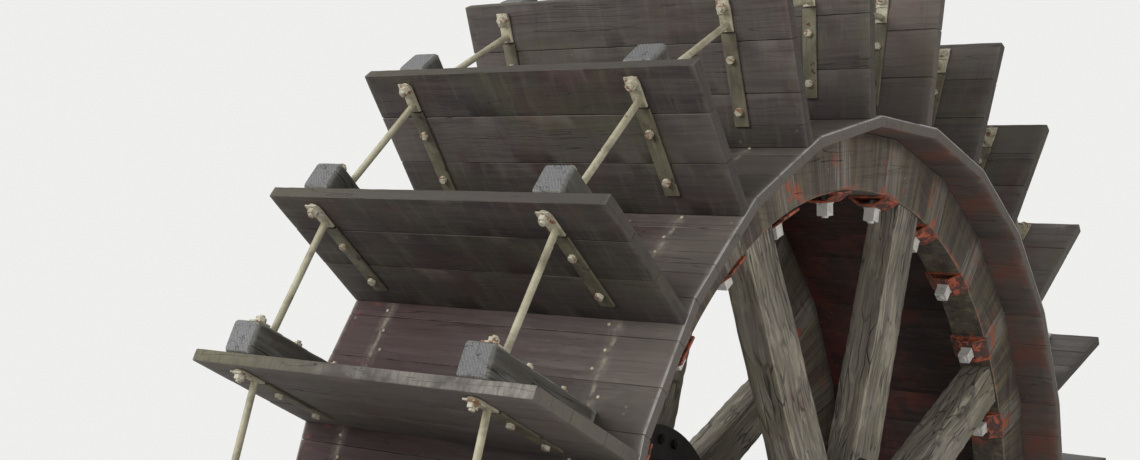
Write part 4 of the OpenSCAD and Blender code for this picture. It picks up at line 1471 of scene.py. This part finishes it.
@dataclass
class Studio:
    """The plain pale floor, the soft lights and the camera."""

    camera_at: Point = (4.031, -6.542, 4.862)
    camera_turn: Point = (87.217, 0.0, 37.127)
    lens: float = 52.61
    pale: Colour = (0.86, 0.86, 0.85, 1.0)
    sky: Colour = (0.62, 0.63, 0.66, 1.0)
    floor_colour: Colour = (0.88, 0.88, 0.87, 1.0)
    floor_r: float = 60.0
    floor_sides: int = 96
    fade: tuple[float, float] = (4.5, 14.0)
    lights: tuple[tuple[str, Point, Point, float], ...] = (
        ("key", (-3.5, -8.0, 9.0), (0.0, 0.0, 3.2), 640.0),
        ("fill", (9.0, -4.0, 5.0), (0.0, 0.0, 3.0), 300.0),
        ("back", (-4.0, 8.0, 7.0), (0.0, 0.0, 3.0), 300.0),
    )

    def build(self) -> None:
        """Make the camera, the lights, the world and the floor."""
        scene = bpy.context.scene
        camera = bpy.data.cameras.new("camera")
        camera.sensor_fit = "HORIZONTAL"
        camera.sensor_width = 36.0
        camera.lens = self.lens
        camera.clip_end = 300.0
        holder = bpy.data.objects.new("camera", camera)
        holder.location = self.camera_at
        holder.rotation_euler = tuple(math.radians(a) for a in self.camera_turn)
        scene.collection.objects.link(holder)
        scene.camera = holder
        scene.view_settings.view_transform = "Standard"
        for name, at, to, power in self.lights:
            self.light(name, at, to, power)
        self.world()
        self.floor()

    def light(self, name: str, at: Point, to: Point, power: float, size: float = 5.0) -> None:
        """Add one square soft light.

        Args:
            name: Its name.
            at: Where it stands.
            to: The place that it points at.
            power: Its power in watts.
            size: The length of its sides.
        """
        data = bpy.data.lights.new(name, "AREA")
        data.size = size
        data.energy = power
        lamp = bpy.data.objects.new(name, data)
        lamp.location = at
        aim = np.array(to) - np.array(at)
        lamp.rotation_euler = (math.atan2(math.hypot(aim[0], aim[1]), -aim[2]), 0.0, math.atan2(-aim[0], aim[1]))
        bpy.context.scene.collection.objects.link(lamp)

    def world(self) -> None:
        """Light the scene softly all round, and show the pale background to the camera."""
        world = bpy.data.worlds.new("studio")
        bpy.context.scene.world = world
        world.use_nodes = True
        sketch = NodeSketch(world.node_tree)
        background = world.node_tree.nodes["Background"]
        path = sketch.add("ShaderNodeLightPath", {}).outputs
        seen = sketch.maths("MAXIMUM", Wire(sketch, path["Is Camera Ray"]), Wire(sketch, path["Is Glossy Ray"]))
        sketch.feed(background.inputs["Color"], sketch.mix(seen, self.sky, self.pale))
        sketch.feed(background.inputs["Strength"], seen * 0.55 + 0.45)

    def floor(self) -> None:
        """Lay the floor, which fades into the background away from the wheel."""
        mesh = bpy.data.meshes.new("floor")
        turns = [2 * math.pi * k / self.floor_sides for k in range(self.floor_sides)]
        mesh.from_pydata([(self.floor_r * math.cos(a), self.floor_r * math.sin(a), 0.0) for a in turns], [],
                         [tuple(range(self.floor_sides))])
        material = bpy.data.materials.new("floor")
        material.use_nodes = True
        sketch = NodeSketch(material.node_tree)
        shader = material.node_tree.nodes["Principled BSDF"]
        sketch.feed(shader.inputs["Base Color"], self.floor_colour)
        sketch.feed(shader.inputs["Roughness"], 0.85)
        glow = sketch.put("ShaderNodeEmission", {}, 0, Color=self.pale)
        far = sketch.vector("LENGTH", sketch.where(), output="Value").ramp(*self.fade)
        seen = sketch.put("ShaderNodeLightPath", {}, "Is Camera Ray")
        blend = sketch.put("ShaderNodeMixShader", {}, 0, far * seen, Wire(sketch, shader.outputs[0]), glow)
        sketch.feed(material.node_tree.nodes["Material Output"].inputs["Surface"], blend)
        mesh.materials.append(material)
        floor = bpy.data.objects.new("floor", mesh)
        bpy.context.scene.collection.objects.link(floor)


def main() -> None:
    """Build every sub-assembly over the frame and report each piece."""
    logging.basicConfig(level=logging.INFO, format="%(name)s: %(message)s")
    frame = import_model()
    Studio().build()
    Floats(PLAN).build()
    Sole(PLAN).build()
    for side in Side:
        Ring(PLAN, side).build()
        Pier(side).build()
    SoleNails(PLAN).build()
    Axle(PLAN).build()
    Ironwork({
        "axle_hoops": BLACK, "gudgeon": BLACK, "hub": BLACK, "hub_bolts": BLACK, "stays": CREAM,
        "stay_feet": CREAM, "start_bolts": NUTS, "float_straps": BARE, "float_bolts": NUTS, "saddles": RED,
        "tie_bolts": WHITE, "brass": BRONZE, "bearing": BLACK, "bearing_cap": BLACK, "cap_bolts": BLACK,
    }).dress(frame["nodes"])


if __name__ == "__main__":
    main()
